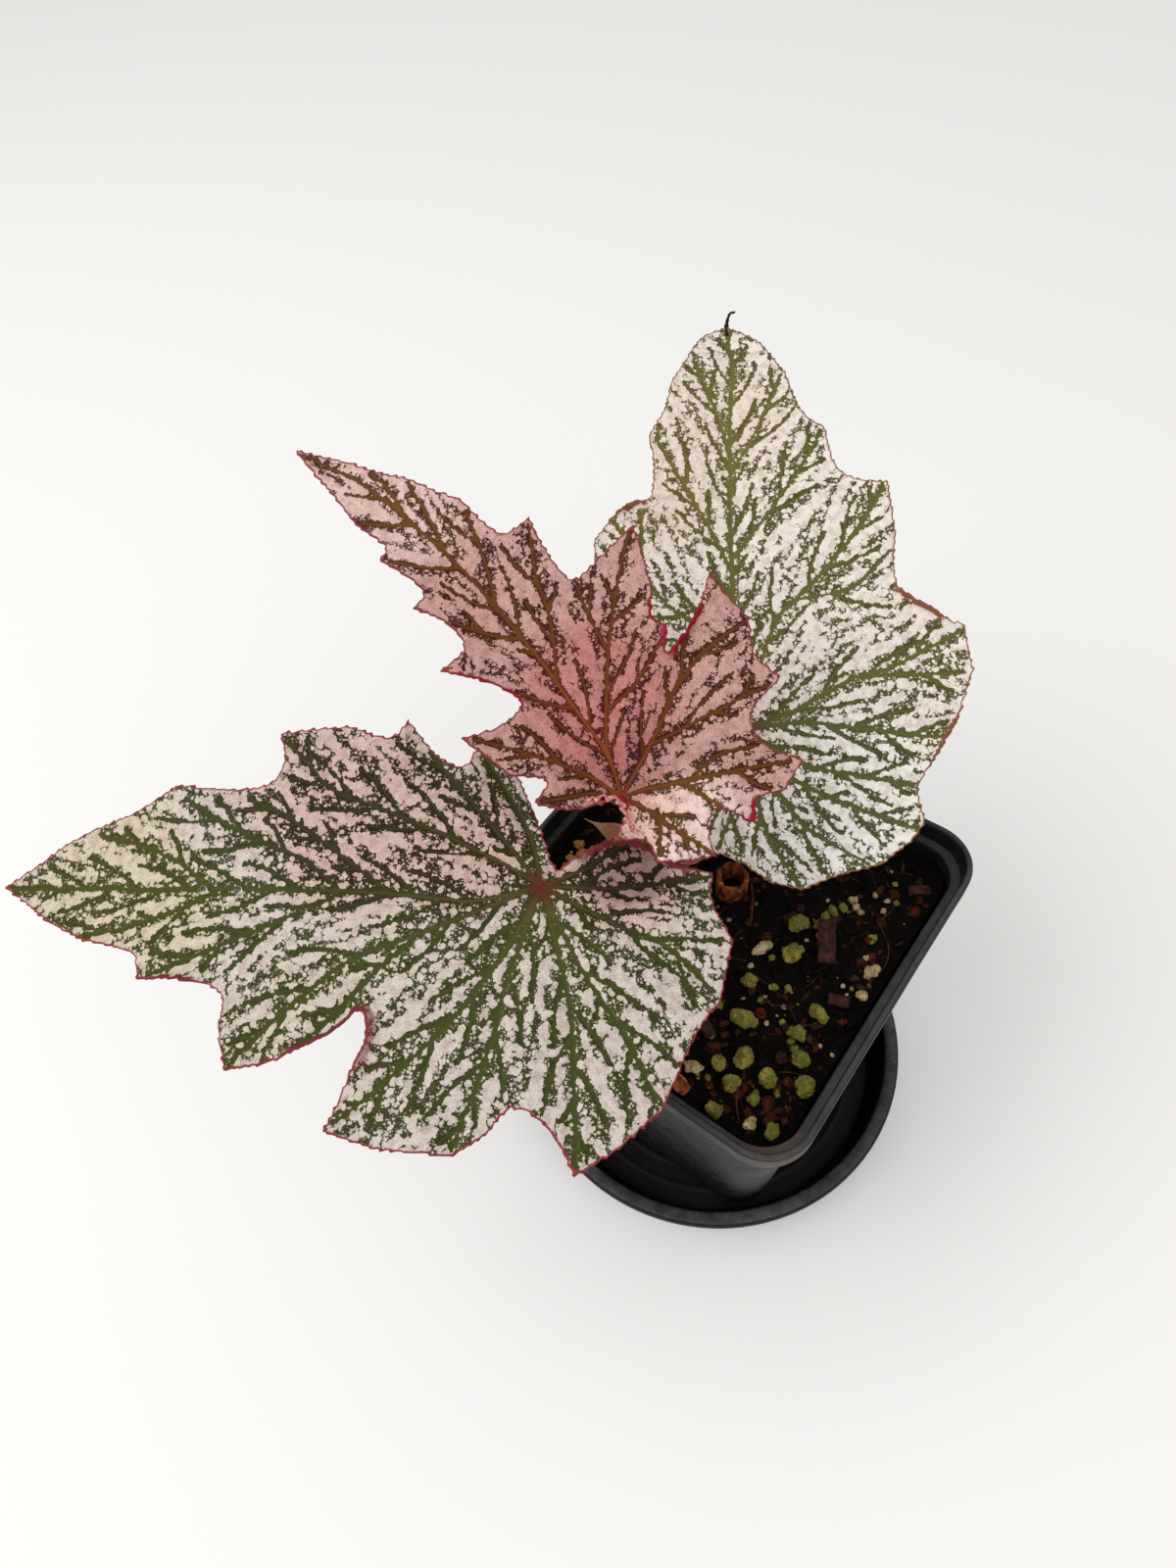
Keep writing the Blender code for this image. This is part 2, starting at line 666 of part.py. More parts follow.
def main():
    clear_scene()
    begonia = collection("potted_begonia")
    cutters = collection("cutters")
    skins = {
        "saucer": material("saucer plastic", (0.035, 0.036, 0.038), 0.5),
        "pot": material("pot plastic", (0.028, 0.029, 0.031), 0.45),
        "soil": material("peat", (0.030, 0.018, 0.012), 0.95),
        "stalk": material("stalk", (0.28, 0.24, 0.08), 0.5),
        "dry": material("dry stem", (0.42, 0.20, 0.07), 0.85),
        "papery": material("papery bract", (0.52, 0.28, 0.17), 0.7),
        "grain": material("grain", (0.46, 0.42, 0.14), 0.8),
        "bark": material("bark", (0.13, 0.045, 0.035), 0.85),
        "leaf_front": material("leaf front", (0.42, 0.42, 0.36), 0.45),
        "leaf_middle": material("leaf middle", (0.52, 0.30, 0.31), 0.45),
        "leaf_back": material("leaf back", (0.52, 0.53, 0.46), 0.5),
    }
    make_saucer(begonia, skins["saucer"])
    make_pot(begonia, cutters, skins["pot"])
    make_soil(begonia, cutters, skins["soil"])
    make_stem(begonia, skins["stalk"])
    make_stub(begonia, skins["dry"])
    make_stipules(begonia, skins["papery"])
    for kind, leaf in LEAVES.items():
        make_leaf(kind, leaf, begonia, skins)
    make_grains(begonia, skins["grain"])
    make_chips(begonia, skins["bark"])
    make_husk(begonia, skins["dry"])


main()
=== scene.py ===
"""A young begonia in a square nursery pot on a round saucer, with its looks, stage and camera.

Lengths in the drawings are millimetres, multiplied by MM on the way into a mesh.
"""

import math

import bmesh
import bpy
import numpy as np
from bpy.props import FloatProperty, FloatVectorProperty, PointerProperty
from bpy.types import Operator, Panel, PropertyGroup
from mathutils import Euler, Matrix, Vector, noise
from mathutils.geometry import delaunay_2d_cdt


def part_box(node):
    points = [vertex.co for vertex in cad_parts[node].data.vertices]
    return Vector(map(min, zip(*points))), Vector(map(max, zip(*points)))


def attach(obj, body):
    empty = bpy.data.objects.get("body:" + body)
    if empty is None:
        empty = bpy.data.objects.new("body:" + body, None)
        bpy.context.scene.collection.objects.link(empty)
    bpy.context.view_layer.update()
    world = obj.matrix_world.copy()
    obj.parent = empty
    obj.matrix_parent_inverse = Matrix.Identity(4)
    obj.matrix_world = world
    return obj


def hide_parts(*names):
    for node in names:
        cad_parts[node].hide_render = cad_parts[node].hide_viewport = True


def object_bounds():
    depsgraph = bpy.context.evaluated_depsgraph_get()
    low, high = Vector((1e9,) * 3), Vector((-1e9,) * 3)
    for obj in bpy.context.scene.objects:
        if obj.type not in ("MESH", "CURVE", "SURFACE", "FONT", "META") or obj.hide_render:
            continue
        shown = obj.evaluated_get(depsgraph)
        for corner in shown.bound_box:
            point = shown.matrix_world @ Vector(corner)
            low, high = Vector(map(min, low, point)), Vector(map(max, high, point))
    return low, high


bl_info = {
    "name": "Potted begonia",
    "version": (1, 0, 0),
    "blender": (4, 5, 0),
    "location": "View3D > Sidebar > Begonia",
    "description": "Builds a young begonia with spotted leaves in a square pot on a saucer",
    "category": "Add Mesh",
}

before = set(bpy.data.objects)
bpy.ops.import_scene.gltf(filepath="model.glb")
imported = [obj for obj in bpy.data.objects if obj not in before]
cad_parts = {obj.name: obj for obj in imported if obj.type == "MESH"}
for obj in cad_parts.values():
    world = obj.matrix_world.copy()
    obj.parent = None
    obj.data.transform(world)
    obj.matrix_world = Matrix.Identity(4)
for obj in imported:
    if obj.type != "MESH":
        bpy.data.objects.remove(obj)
CAD_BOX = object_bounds()
MM = 0.001
TIP = 1  # a leaf's margin is pointed here
BEND = 0  # a leaf's margin runs through smoothly here


# ---------------------------------------------------------------- settings


def tone(red, green, blue):
    """A colour written as it looks on a screen, 0 to 255, as the linear values that Blender keeps."""
    shares = [value / 255 for value in (red, green, blue)]
    return tuple(s / 12.92 if s < 0.04045 else ((s + 0.055) / 1.055) ** 2.4 for s in shares)


def colour_setting(name, description, red, green, blue):
    """A colour for the panel, given as it looks on a screen."""
    shade = {"subtype": "COLOR", "size": 3, "min": 0.0, "max": 1.0, "default": tone(red, green, blue)}
    return FloatVectorProperty(name=name, description=description, **shade)


def length_setting(name, description, value):
    """A length for the panel, given in millimetres."""
    span = {"subtype": "DISTANCE", "unit": "LENGTH", "default": value * MM}
    return FloatProperty(name=name, description=description, **span)


class BegoniaLeafSizes(PropertyGroup):
    """How finely the blades are built, and how far their surface rises and falls."""

    spacing: length_setting("Spacing", "Distance between the points of a blade", 0.85)
    margin_step: length_setting("Margin step", "Distance between the points of a margin", 0.5)
    thickness: length_setting("Thickness", "Thickness of a blade away from its veins", 0.45)
    tooth: length_setting("Tooth", "Depth of the fine teeth on the margins", 0.45)
    pucker: length_setting("Pucker", "How far the blade rises between its veins", 0.55)
    rib: length_setting("Rib", "How far the main veins stand out below the blade", 1.3)


# What each leaf's colours are called, and what they are for
LEAF_COLOURS = {
    "silver": ("Silver", "The markings"),
    "ground": ("Ground", "The blade between the markings"),
    # The blushed colours are partly the leaf's own red and partly painted shade
    "blush_silver": ("Blushed silver", "The markings where the blade is redder and darker"),
    "blush_ground": ("Blushed ground", "The blade between the markings where it is redder and darker"),
    # The pale colours are painted light
    "sun_silver": ("Pale silver", "The markings where the blade is paler"),
    "sun_ground": ("Pale ground", "The blade between the markings where it is paler"),
    "vein": ("Vein", "The smooth bands along the veins"),
    "crest": ("Crest", "The thin line along the thick veins"),
    "flush": ("Flush", "The tint round the top of the stalk"),
    "rim": ("Rim", "The line along the margin"),
    "under": ("Underside", "The blade seen from below"),
}


def leaf_colours(name, description, *tones):
    """A group of settings with one colour for each name in LEAF_COLOURS."""
    pairs = zip(LEAF_COLOURS.items(), tones, strict=True)
    settings = {key: colour_setting(*words, *colour) for (key, words), colour in pairs}
    return type(name, (PropertyGroup,), {"__doc__": description, "__annotations__": settings})


BegoniaFrontColours = leaf_colours(
    "BegoniaFrontColours",
    "The colours of the large green leaf.",
    (209, 196, 186), (70, 76, 26), (204, 176, 164), (52, 42, 8), (208, 194, 170), (76, 78, 14),
    (58, 62, 30), (102, 84, 50), (112, 14, 20), (150, 52, 58), (122, 46, 46),
)
BegoniaMiddleColours = leaf_colours(
    "BegoniaMiddleColours",
    "The colours of the young pink leaf.",
    (195, 151, 143), (72, 28, 4), (188, 122, 118), (82, 10, 4), (238, 210, 202), (96, 68, 28),
    (126, 78, 22), (156, 86, 32), (120, 20, 22), (140, 58, 60), (140, 18, 34),
)
BegoniaBackColours = leaf_colours(
    "BegoniaBackColours",
    "The colours of the pale older leaf.",
    (238, 227, 216), (98, 96, 46), (232, 214, 200), (118, 108, 50), (250, 246, 236), (88, 94, 50),
    (100, 100, 56), (122, 120, 80), (120, 40, 34), (150, 96, 62), (140, 84, 62),
)


class BegoniaHolder(PropertyGroup):
    """The pot and the saucer."""

    lip: length_setting("Lip", "Width of the pot's lip", 1.8)
    collar: length_setting("Collar", "Height of the pot's upright collar", 6.0)
    ledge: length_setting("Ledge", "How far the collar stands out from the body", 2.5)
    wall: length_setting("Wall", "Thickness of the pot's wall", 1.4)
    base: length_setting("Base", "Width of the pot across its foot", 74.0)
    saucer_lip: length_setting("Saucer lip", "Width of the saucer's lip", 4.2)
    pot_colour: colour_setting("Pot", "The pot's plastic", 24, 24, 26)
    # The saucer's black plastic, darkened further as painted shade for the shadow that lies in it
    saucer_shaded_colour: colour_setting("Saucer", "The saucer's plastic", 13, 13, 14)


class BegoniaSoil(PropertyGroup):
    """How much lies on the soil, as pieces for each square metre."""

    crumbs: FloatProperty(name="Crumbs", description="Peat crumbs", default=190000.0, min=0.0)
    bark: FloatProperty(name="Bark", description="Small flat pieces of bark", default=40000.0, min=0.0)
    grit: FloatProperty(name="Grit", description="Small pale and green grains", default=15000.0, min=0.0)
    fibres: FloatProperty(name="Fibres", description="Short coir fibres", default=26000.0, min=0.0)


class BegoniaSettings(PropertyGroup):
    """Everything that the panel shows."""

    leaf: PointerProperty(type=BegoniaLeafSizes)
    front: PointerProperty(type=BegoniaFrontColours)
    middle: PointerProperty(type=BegoniaMiddleColours)
    back: PointerProperty(type=BegoniaBackColours)
    holder: PointerProperty(type=BegoniaHolder)
    soil: PointerProperty(type=BegoniaSoil)


# ------------------------------------------------------------ small tools


class Tree:
    """Adds nodes to a tree. Colours are given without their alpha."""

    def __init__(self, tree):
        self.tree = tree

    def feed(self, socket, value):
        """Links a socket, or keeps the value as the input's own. None leaves it as it is."""
        if isinstance(value, bpy.types.NodeSocket):
            self.tree.links.new(value, socket)
        elif value is not None:
            socket.default_value = (*value, 1) if socket.type == "RGBA" else value

    def add(self, kind, inputs=None, **settings):
        """A new node, with its inputs fed by name or number."""
        node = self.tree.nodes.new(kind)
        for key, value in settings.items():
            setattr(node, key, value)
        for key, value in (inputs or {}).items():
            self.feed(node.inputs[key], value)
        return node

    def math(self, operation, first, second=None, third=None):
        values = {0: first, 1: second, 2: third}
        return self.add("ShaderNodeMath", values, operation=operation).outputs[0]

    def times(self, first, second):
        return self.math("MULTIPLY", first, second)

    def vector(self, operation, first, second=None):
        return self.add("ShaderNodeVectorMath", {0: first, 1: second}, operation=operation).outputs[0]

    def scaled(self, vector, scale):
        node = self.add("ShaderNodeVectorMath", {0: vector, "Scale": scale}, operation="SCALE")
        return node.outputs[0]

    def mix(self, share, first, second, blend="MIX"):
        values = {0: share, 6: first, 7: second}
        return self.add("ShaderNodeMix", values, data_type="RGBA", blend_type=blend).outputs[2]

    def tint(self, colour, other, value, low, high, most=1.0):
        """Runs smoothly from a colour, where the value is low, towards another."""
        return self.mix(self.step(value, low, high, 0.0, most), colour, other)

    def between(self, share, first, second):
        return self.add("ShaderNodeMix", {0: share, 2: first, 3: second}).outputs[0]

    def step(self, value, low, high, out_low=0.0, out_high=1.0):
        """Runs smoothly from out_low at low to out_high at high."""
        values = {0: value, 1: low, 2: high, 3: out_low, 4: out_high}
        return self.add("ShaderNodeMapRange", values, interpolation_type="SMOOTHSTEP").outputs[0]

    def noise(self, place, scale, detail=2.0, roughness=0.5, colour=False):
        values = {"Vector": place, "Scale": scale, "Detail": detail, "Roughness": roughness}
        return self.add("ShaderNodeTexNoise", values).outputs[1 if colour else 0]

    def cells(self, place, scale, randomness=1.0, feature="F1"):
        values = {"Vector": place, "Scale": scale, "Randomness": randomness}
        return self.add("ShaderNodeTexVoronoi", values, feature=feature)

    def spots(self, place, scale, edge, full, most=1.0):
        """One round spot in each cell, which fades in from its edge to where it is full."""
        return self.step(self.cells(place, scale).outputs["Distance"], edge, full, 0.0, most)

    def attribute(self, name, output="Fac"):
        return self.add("ShaderNodeAttribute", attribute_name=name).outputs[output]

    def place(self):
        return self.add("ShaderNodeTexCoord").outputs["Object"]

    def axis(self, vector, number):
        return self.add("ShaderNodeSeparateXYZ", {0: vector}).outputs[number]

    def length(self, vector):
        return self.add("ShaderNodeVectorMath", {0: vector}, operation="LENGTH").outputs["Value"]

    def chance(self, cells):
        """A random number for each cell."""
        return self.add("ShaderNodeSeparateColor", {0: cells.outputs["Color"]}).outputs[0]

    def draw(self, seed):
        """A random number from 0 to 1 for each piece."""
        values = {2: 0.0, 3: 1.0, "Seed": seed}
        return self.add("FunctionNodeRandomValue", values, data_type="FLOAT").outputs[1]

    def wander(self, place, scale):
        """A random vector about zero that drifts from place to place."""
        return self.vector("SUBTRACT", self.noise(place, scale, 2, colour=True), (0.5, 0.5, 0.5))

    def surface(self, shader, colour, roughness, height=None, *, specular, strength=0.0, depth=0.0):
        """Feeds a shader its colour and gloss and, where there is a height, its relief in millimetres."""
        self.feed(shader.inputs["Base Color"], colour)
        self.feed(shader.inputs["Roughness"], roughness)
        self.feed(shader.inputs["Specular IOR Level"], specular)
        if height is not None:
            relief = {"Height": height, "Strength": strength, "Distance": depth * MM}
            self.feed(shader.inputs["Normal"], self.add("ShaderNodeBump", relief).outputs[0])


FLOAT = "NodeSocketFloat"
VECTOR = "NodeSocketVector"
COLOUR = "NodeSocketColor"
MESH = "NodeSocketGeometry"


def new_group(name, inputs, outputs, family="ShaderNodeTree"):
    """An empty node group, from each input's kind and own value and each output's kind."""
    made = bpy.data.node_groups.new(name, family)
    for label, (kind, value) in inputs.items():
        socket = made.interface.new_socket(label, in_out="INPUT", socket_type=kind)
        if value is not None:
            socket.default_value = value
    for label, kind in outputs.items():
        made.interface.new_socket(label, in_out="OUTPUT", socket_type=kind)
    tree = Tree(made)
    return tree, tree.add("NodeGroupInput").outputs, tree.add("NodeGroupOutput").inputs


def new_material(name):
    """A material with its tree, and the Principled shader that ends it."""
    made = bpy.data.materials.new(name)
    made.use_nodes = True
    return made, Tree(made.node_tree), made.node_tree.nodes["Principled BSDF"]


def listed(name, points, faces):
    """A mesh from rows of points in millimetres and lists of their numbers."""
    mesh = bpy.data.meshes.new(name)
    mesh.from_pydata(points * MM, [], faces)
    return mesh


def placed(name, data):
    """A new object, linked to the scene."""
    made = bpy.data.objects.new(name, data)
    bpy.context.scene.collection.objects.link(made)
    return made


def show_mesh(name, mesh, materials, slot, *replaced):
    """Puts a finished mesh in the scene, riding on the root body in place of any CAD nodes named."""
    for skin in materials:
        mesh.materials.append(skin)
    piece = placed(name, mesh)
    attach(piece, "root")
    if replaced:
        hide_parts(*replaced)


def ripple(x, y, z):
    """Smooth fixed noise from -1 to 1."""
    return noise.noise(Vector((x, y, z)))


def circle(count):
    """Directions evenly round a circle."""
    turns = [2 * math.pi * i / count for i in range(count)]
    return [Vector((math.cos(turn), math.sin(turn), 0.0)) for turn in turns]


def way_along(path, i):
    """The direction of a path at one of its points."""
    return (path[min(i + 1, len(path) - 1)] - path[max(i - 1, 0)]).normalized()


# ------------------------------------------------------------ leaf drawings

# Each blade is drawn flat about the top of its stalk: x runs along the midrib to the tip, and y to its left,
# seen from above. "base" and "tip" are the midrib's ends, "up" leans the blade, "arch" and "fold" bend it.
# "girth" is half the width of a main vein at its start. "mains" run from the top of the stalk, and "sides"
# branch from them. "rolls" are stretches of margin that curl up: the middle of the stretch, its reach along
# the margin, its width, and the turn in degrees. "tints" are round patches that are redder and darker, partly
# the leaf's own red and partly painted shade, with painted shadow above 1, and paler with painted light
# where the last number is below 0: the middle, the reach and the amount.
LEAVES = {
    "front": {
        "girth": 0.8,
        "base": (-19, -38, 144),
        "tip": (-116, -104, 144),
        "up": (0.10, -0.24, 0.95),
        "arch": 5,
        "fold": (0.14, 12),
        "margin": [
            (118, 0, TIP), (107, -7, BEND), (98, -12, TIP), (89, -15, TIP), (79, -21, TIP),
            (70, -20, BEND), (59, -21, BEND), (56, -26, BEND), (57, -32, TIP), (49, -33, TIP),
            (42, -34, TIP), (33, -31, BEND), (29, -35, TIP), (23, -28, BEND), (17, -25, BEND),
            (14, -29, TIP), (6, -25, TIP), (1, -14, BEND), (-3, -4, BEND), (-7, -6, BEND),
            (-16, -10, BEND), (-22, -9, BEND), (-28, -6, BEND), (-36, -5, TIP), (-36, 2, BEND),
            (-40, 10, TIP), (-37, 23, TIP), (-32, 30, BEND), (-25, 45, TIP), (-17, 52, TIP),
            (-9, 57, TIP), (-4, 49, BEND), (3, 45, BEND), (8, 50, BEND), (14, 54, TIP),
            (28, 53, TIP), (38, 50, TIP), (35, 41, BEND), (32, 33, BEND), (34, 27, BEND),
            (40, 32, BEND), (50, 37, BEND), (59, 39, TIP), (62, 31, TIP), (63, 24, BEND),
            (71, 21, BEND), (81, 21, TIP), (83, 16, BEND), (88, 14, TIP), (97, 12, TIP),
            (107, 7, BEND),
        ],
        "mains": [
            [(13, 3.6), (20, 3.4), (30, 2.6), (42, 2), (56, 1.8), (69, 1.5), (88, 1.2), (105, 0.5), (116, 0)],
            [(9, -5), (22, -11), (35, -16), (45, -20), (55, -30)],
            [(11, -13), (20, -23), (28, -33)],
            [(2.4, -10), (9, -22), (13, -28)],
            [(12, 5.4), (22, 10), (38, 17), (46, 24), (52, 30), (58, 37)],
            [(6, 13), (15, 27), (25, 38), (37, 49)],
            [(6, 21), (8, 32), (12, 46), (14, 53)],
            [(-5, 18), (-7, 27), (-8, 39), (-9, 55)],
            [(-8, 16), (-14, 25), (-19, 33), (-24, 43)],
            [(-14, 7), (-26, 12), (-36, 21)],
            [(-17, -0.3), (-35, -4)],
            [(-11.5, -5), (-18, -8.5)],
        ],
        "sides": [
            [(42, 1.6), (49, -4), (58, -8), (66, -11.5), (77, -18)],
            [(70, 1.4), (77, -4), (86, -8), (95, -10.5)],
            [(31, 2.4), (40, -4), (47, -9), (55, -14), (63, -18)],
            [(41, 2.4), (52, 8), (66, 14.5), (79, 20)],
            [(68, 1.9), (77, 6.6), (88, 10), (96, 11.4)],
            [(25, 11.5), (35, 22), (46, 33)],
        ],
        "rolls": [(40, 32, 12, 2.6, 120), (-20, -9, 17, 2.0, 110), (74, 21, 7, 1.4, 90)],
        "tints": [
            (38, -15, 26, 1.0), (16, -8, 18, 1.0), (62, -14, 20, 0.7), (-17, -5, 15, 1.6),
            (88, 2, 30, -0.9), (45, 32, 22, -0.4),
        ],
    },
    "middle": {
        "girth": 0.7,
        "base": (-11, -18, 160),
        "tip": (-104, -4, 197),
        "up": (0.16, -0.22, 0.95),
        "arch": 5,
        "fold": (0.20, 8),
        "margin": [
            (102, 0, TIP), (95, -5, TIP), (88, -8, TIP), (79, -12, TIP), (73, -14, BEND),
            (67, -17, TIP), (60, -17, BEND), (55, -18, BEND), (54, -24, TIP), (48, -22, BEND),
            (42, -21, BEND), (38, -22, BEND), (38, -30, BEND), (38, -38, TIP), (32, -35, BEND),
            (26, -32, TIP), (22, -28, BEND), (18, -28, TIP), (14, -25, BEND), (15, -33, BEND),
            (20, -42, TIP), (8, -42, TIP), (2, -38, BEND), (-5, -39, TIP), (-6, -30, BEND),
            (-12, -28, BEND), (-20, -32, TIP), (-22, -25, TIP), (-19, -19, BEND), (-23, -16, TIP),
            (-16, -13, BEND), (-16, -9, BEND), (-22, -6, TIP), (-19, -1, BEND), (-15, 4, TIP),
            (-10, 3, BEND), (-6, 8, TIP), (-3, 2, BEND), (0, 1, BEND), (2, 6, BEND),
            (5, 11, BEND), (10, 15, TIP), (12, 10, BEND), (17, 15, TIP), (23, 16, BEND),
            (29, 17, TIP), (26, 9, BEND), (27, 3, BEND), (34, 5, BEND), (42, 11, TIP),
            (43, 4, BEND), (49, 3, BEND), (56, 6, TIP), (58, 2, BEND), (69, 4, TIP),
            (71, 1, BEND), (80, 2, TIP), (89, 1, TIP),
        ],
        "mains": [
            [
                (7, -2.6), (13, -3.8), (19, -4.4), (30, -5.8), (38, -6.3), (53, -7.1), (61, -7), (70, -6.5),
                (79, -6), (89, -4.4), (100, -0.8),
            ],
            [(8.6, -3.8), (14.7, -9), (22.8, -17), (28.7, -24), (35, -32.5), (37.4, -36.5)],
            [(3.4, -10.8), (7.5, -20.6), (11.2, -28.2), (16, -35.5), (19.4, -41)],
            [(-5.7, -9.7), (-12, -20), (-19, -31)],
            [(-8.5, -2.3), (-17.8, -4.9), (-21.4, -5.8)],
            [(-5.8, 2.7), (-9.5, 2.6), (-14, 3.3)],
            [(9, 3.6), (17, 8.2), (28, 15.8)],
            [(4.4, 5.1), (9.2, 13.4)],
        ],
        "sides": [
            [(19, -4.3), (24, -0.5), (29, 2), (41, 10)],
            [(36.8, -6), (43, -1.1), (55, 5)],
            [(56.7, -7), (62, -1.2), (68, 3.2)],
            [(70.5, -6.4), (79, 1)],
            [(25.4, -5.4), (35, -12.4), (44.5, -17), (53, -23)],
            [(44.8, -6.8), (55, -12), (66, -16.4)],
            [(60.9, -7), (67, -9.1), (78, -11.6)],
            [(72.7, -6.4), (81, -8.1), (87, -7.8)],
            [(14.5, -9), (14.3, -17.2), (17.4, -27)],
            [(22.8, -17), (31, -19.1), (37, -21.4)],
            [(26.5, -21.4), (26, -26.8), (26, -31.4)],
            [(8.2, -22.5), (9, -34), (8, -41)],
            [(3.4, -10.8), (0, -22), (-3, -32), (-5, -38)],
            [(-7.2, -12.3), (-7.6, -20), (-12, -27.4)],
            [(-12, -20), (-18, -22), (-21.4, -24.4)],
            [(-6.4, -10.6), (-13, -12.4), (-22, -15.8)],
            [(-8.5, -2.3), (-15, 3.2)],
        ],
        "rolls": [
            (14, -31, 8, 2.2, 150), (-20, -17, 3.5, 1.2, 120), (37, 7, 4.5, 1.3, 140), (29, 3.5, 4, 0.7, 90),
            (0, 2, 4, 1.5, 130), (22, -29, 4, 0.7, 70),
        ],
        "tints": [(17, -9, 19, 1.0), (50, -3, 14, 0.25), (-15, -3, 16, -1.0), (78, -3, 26, -0.5)],
    },
    "back": {
        "girth": 0.62,
        "base": (-10, 28, 133),
        "tip": (-70, 114, 174),
        "up": (0.06, -0.14, 0.98),
        "arch": 5,
        "fold": (0.10, 12),
        "margin": [
            (112, 0, TIP), (109, 6, BEND), (101, 11, BEND), (94, 15, TIP), (85, 17, BEND),
            (77, 21, TIP), (69, 20, BEND), (59, 21, BEND), (57, 26, BEND), (54, 31, TIP),
            (48, 35, TIP), (38, 35, BEND), (27, 37, BEND), (16, 39, TIP), (8, 34, BEND),
            (0, 31, BEND), (-9, 32, TIP), (-14, 24, BEND), (-11, 16, BEND), (-5, 8, BEND),
            (-3, 3, BEND), (-8, 5, BEND), (-17, 11, BEND), (-24, 12, BEND), (-29, 8, TIP),
            (-32, 1, BEND), (-36, -5, TIP), (-38, -13, TIP), (-35, -22, BEND), (-33, -31, TIP),
            (-28, -38, TIP), (-24, -41, TIP), (-16, -40, BEND), (-9, -44, BEND), (-1, -49, TIP),
            (10, -53, TIP), (21, -52, TIP), (24, -46, BEND), (30, -38, BEND), (37, -37, BEND),
            (45, -38, TIP), (59, -37, TIP), (61, -30, BEND), (66, -25, BEND), (76, -23, TIP),
            (81, -18, BEND), (95, -14, TIP), (105, -8, BEND),
        ],
        "mains": [
            [(17, 0.9), (30, 1.2), (44, 1.2), (63, 0.9), (79, 0.4), (95, -0.8), (111, -0.2)],
            [(25, -8.4), (34, -17), (46, -28), (58, -36)],
            [(3.6, -11.7), (10.6, -26), (12.5, -35), (20, -51)],
            [(1, -14), (-0.9, -26), (-4, -42), (-3.6, -47)],
            [(-8.5, -13), (-12, -25.5), (-15, -39)],
            [(-12, -11), (-19.3, -25), (-25, -39)],
            [(-20, -11), (-27, -19), (-33, -29)],
            [(-23.5, -4.5), (-36.6, -12)],
            [(-12, 2.4), (-21, 4), (-28, 7)],
            [(9, 9), (14, 22), (16, 37)],
            [(2, 11), (-3, 22), (-8, 30)],
        ],
        "sides": [
            [(66, 0.7), (78, -6.3), (93, -13)],
            [(42.6, 1.2), (53, -7.4), (66, -16.7), (75, -22)],
            [(31, -14), (33, -27.6), (42, -37)],
            [(11, -28), (10.5, -40), (9.5, -51)],
            [(70.8, 0.7), (84, 3.6), (100, 9)],
            [(39, 1.2), (54, 7.9), (76, 19)],
            [(21, 1.1), (30.5, 17), (44, 25), (53, 30)],
            [(12, 15), (22, 27), (30, 36)],
        ],
        "rolls": [(57, 26, 6, 1.6, 110), (27, -42, 9, 1.8, 120), (-5, -46, 10, 1.2, 70)],
        "tints": [(59, 18, 16, 1.0), (80, 4, 24, 0.7), (-18, -21, 26, -1.0)],
    },
}


def margin_points(margin, step):
    """The closed margin as points about one step apart, smooth except at its tips."""
    points = []
    count = len(margin)
    for i in range(count):
        x0, y0, start_kind = margin[i]
        x1, y1, end_kind = margin[(i + 1) % count]
        start = Vector((x0, y0))
        end = Vector((x1, y1))
        before = Vector(margin[i - 1][:2])
        after = Vector(margin[(i + 2) % count][:2])
        leaving = (end - start) if start_kind == TIP else (end - before) / 2
        arriving = (end - start) if end_kind == TIP else (after - start) / 2
        pieces = max(1, round((end - start).length / step))
        for piece in range(pieces):
            t = piece / pieces
            points.append(
                (2 * t**3 - 3 * t**2 + 1) * start
                + (t**3 - 2 * t**2 + t) * leaving
                + (3 * t**2 - 2 * t**3) * end
                + (t**3 - t**2) * arriving
            )
    return points


def smooth_path(points, step):
    """Points about one step apart on a smooth curve through the given ones."""
    points = [Vector(p) for p in points]
    ends = [2 * points[0] - points[1], *points, 2 * points[-1] - points[-2]]
    path = []
    for before, start, end, after in zip(ends, ends[1:], ends[2:], ends[3:]):
        count = max(1, round((end - start).length / step))
        for i in range(count):
            t = i / count
            path.append(
                0.5
                * (
                    2 * start
                    + (end - before) * t
                    + (2 * before - 5 * start + 4 * end - after) * t * t
                    + (3 * start - before - 3 * end + after) * t**3
                )
            )
    return [*path, points[-1]]


def turns_left(outline):
    """Whether a closed outline runs anticlockwise."""
    return sum(a.x * b.y - b.x * a.y for a, b in zip(outline, [*outline[1:], outline[0]])) > 0


TOOTH_LENGTH = 2.3


def toothed(outline, depth, seed):
    """The margin with fine forward teeth of uneven size."""
    count = len(outline)
    turning = 1 if turns_left(outline) else -1
    made = []
    travelled = 0.0
    for i, point in enumerate(outline):
        ahead = outline[(i + 1) % count]
        behind = outline[i - 1]
        side = ahead - behind
        outward = turning * Vector((side.y, -side.x)).normalized()
        travelled += (ahead - point).length
        wander = ripple(travelled * 0.12, seed, 0.0)
        share = (travelled / TOOTH_LENGTH + 1.6 * wander) % 1.0
        uneven = 1.0 + 1.2 * ripple(travelled * 0.3, seed, 4.0)
        height = depth * (share**1.5 - 0.4) * uneven
        made.append(point + outward * height)
    return made


def apart(points, place):
    """How far each of the points is from a place, or from its own place."""
    return np.hypot(*(points - place).T)


def inside_outline(points, outline):
    """For each row of points, whether it is inside the closed outline."""
    within = np.zeros(len(points), bool)
    for start, end in zip(outline, np.roll(outline, -1, axis=0)):
        spans = (start[1] > points[:, 1]) != (end[1] > points[:, 1])
        rise = end[1] - start[1]
        if rise == 0.0:
            continue
        crossing = start[0] + (points[:, 1] - start[1]) / rise * (end[0] - start[0])
        within ^= spans & (points[:, 0] < crossing)
    return within


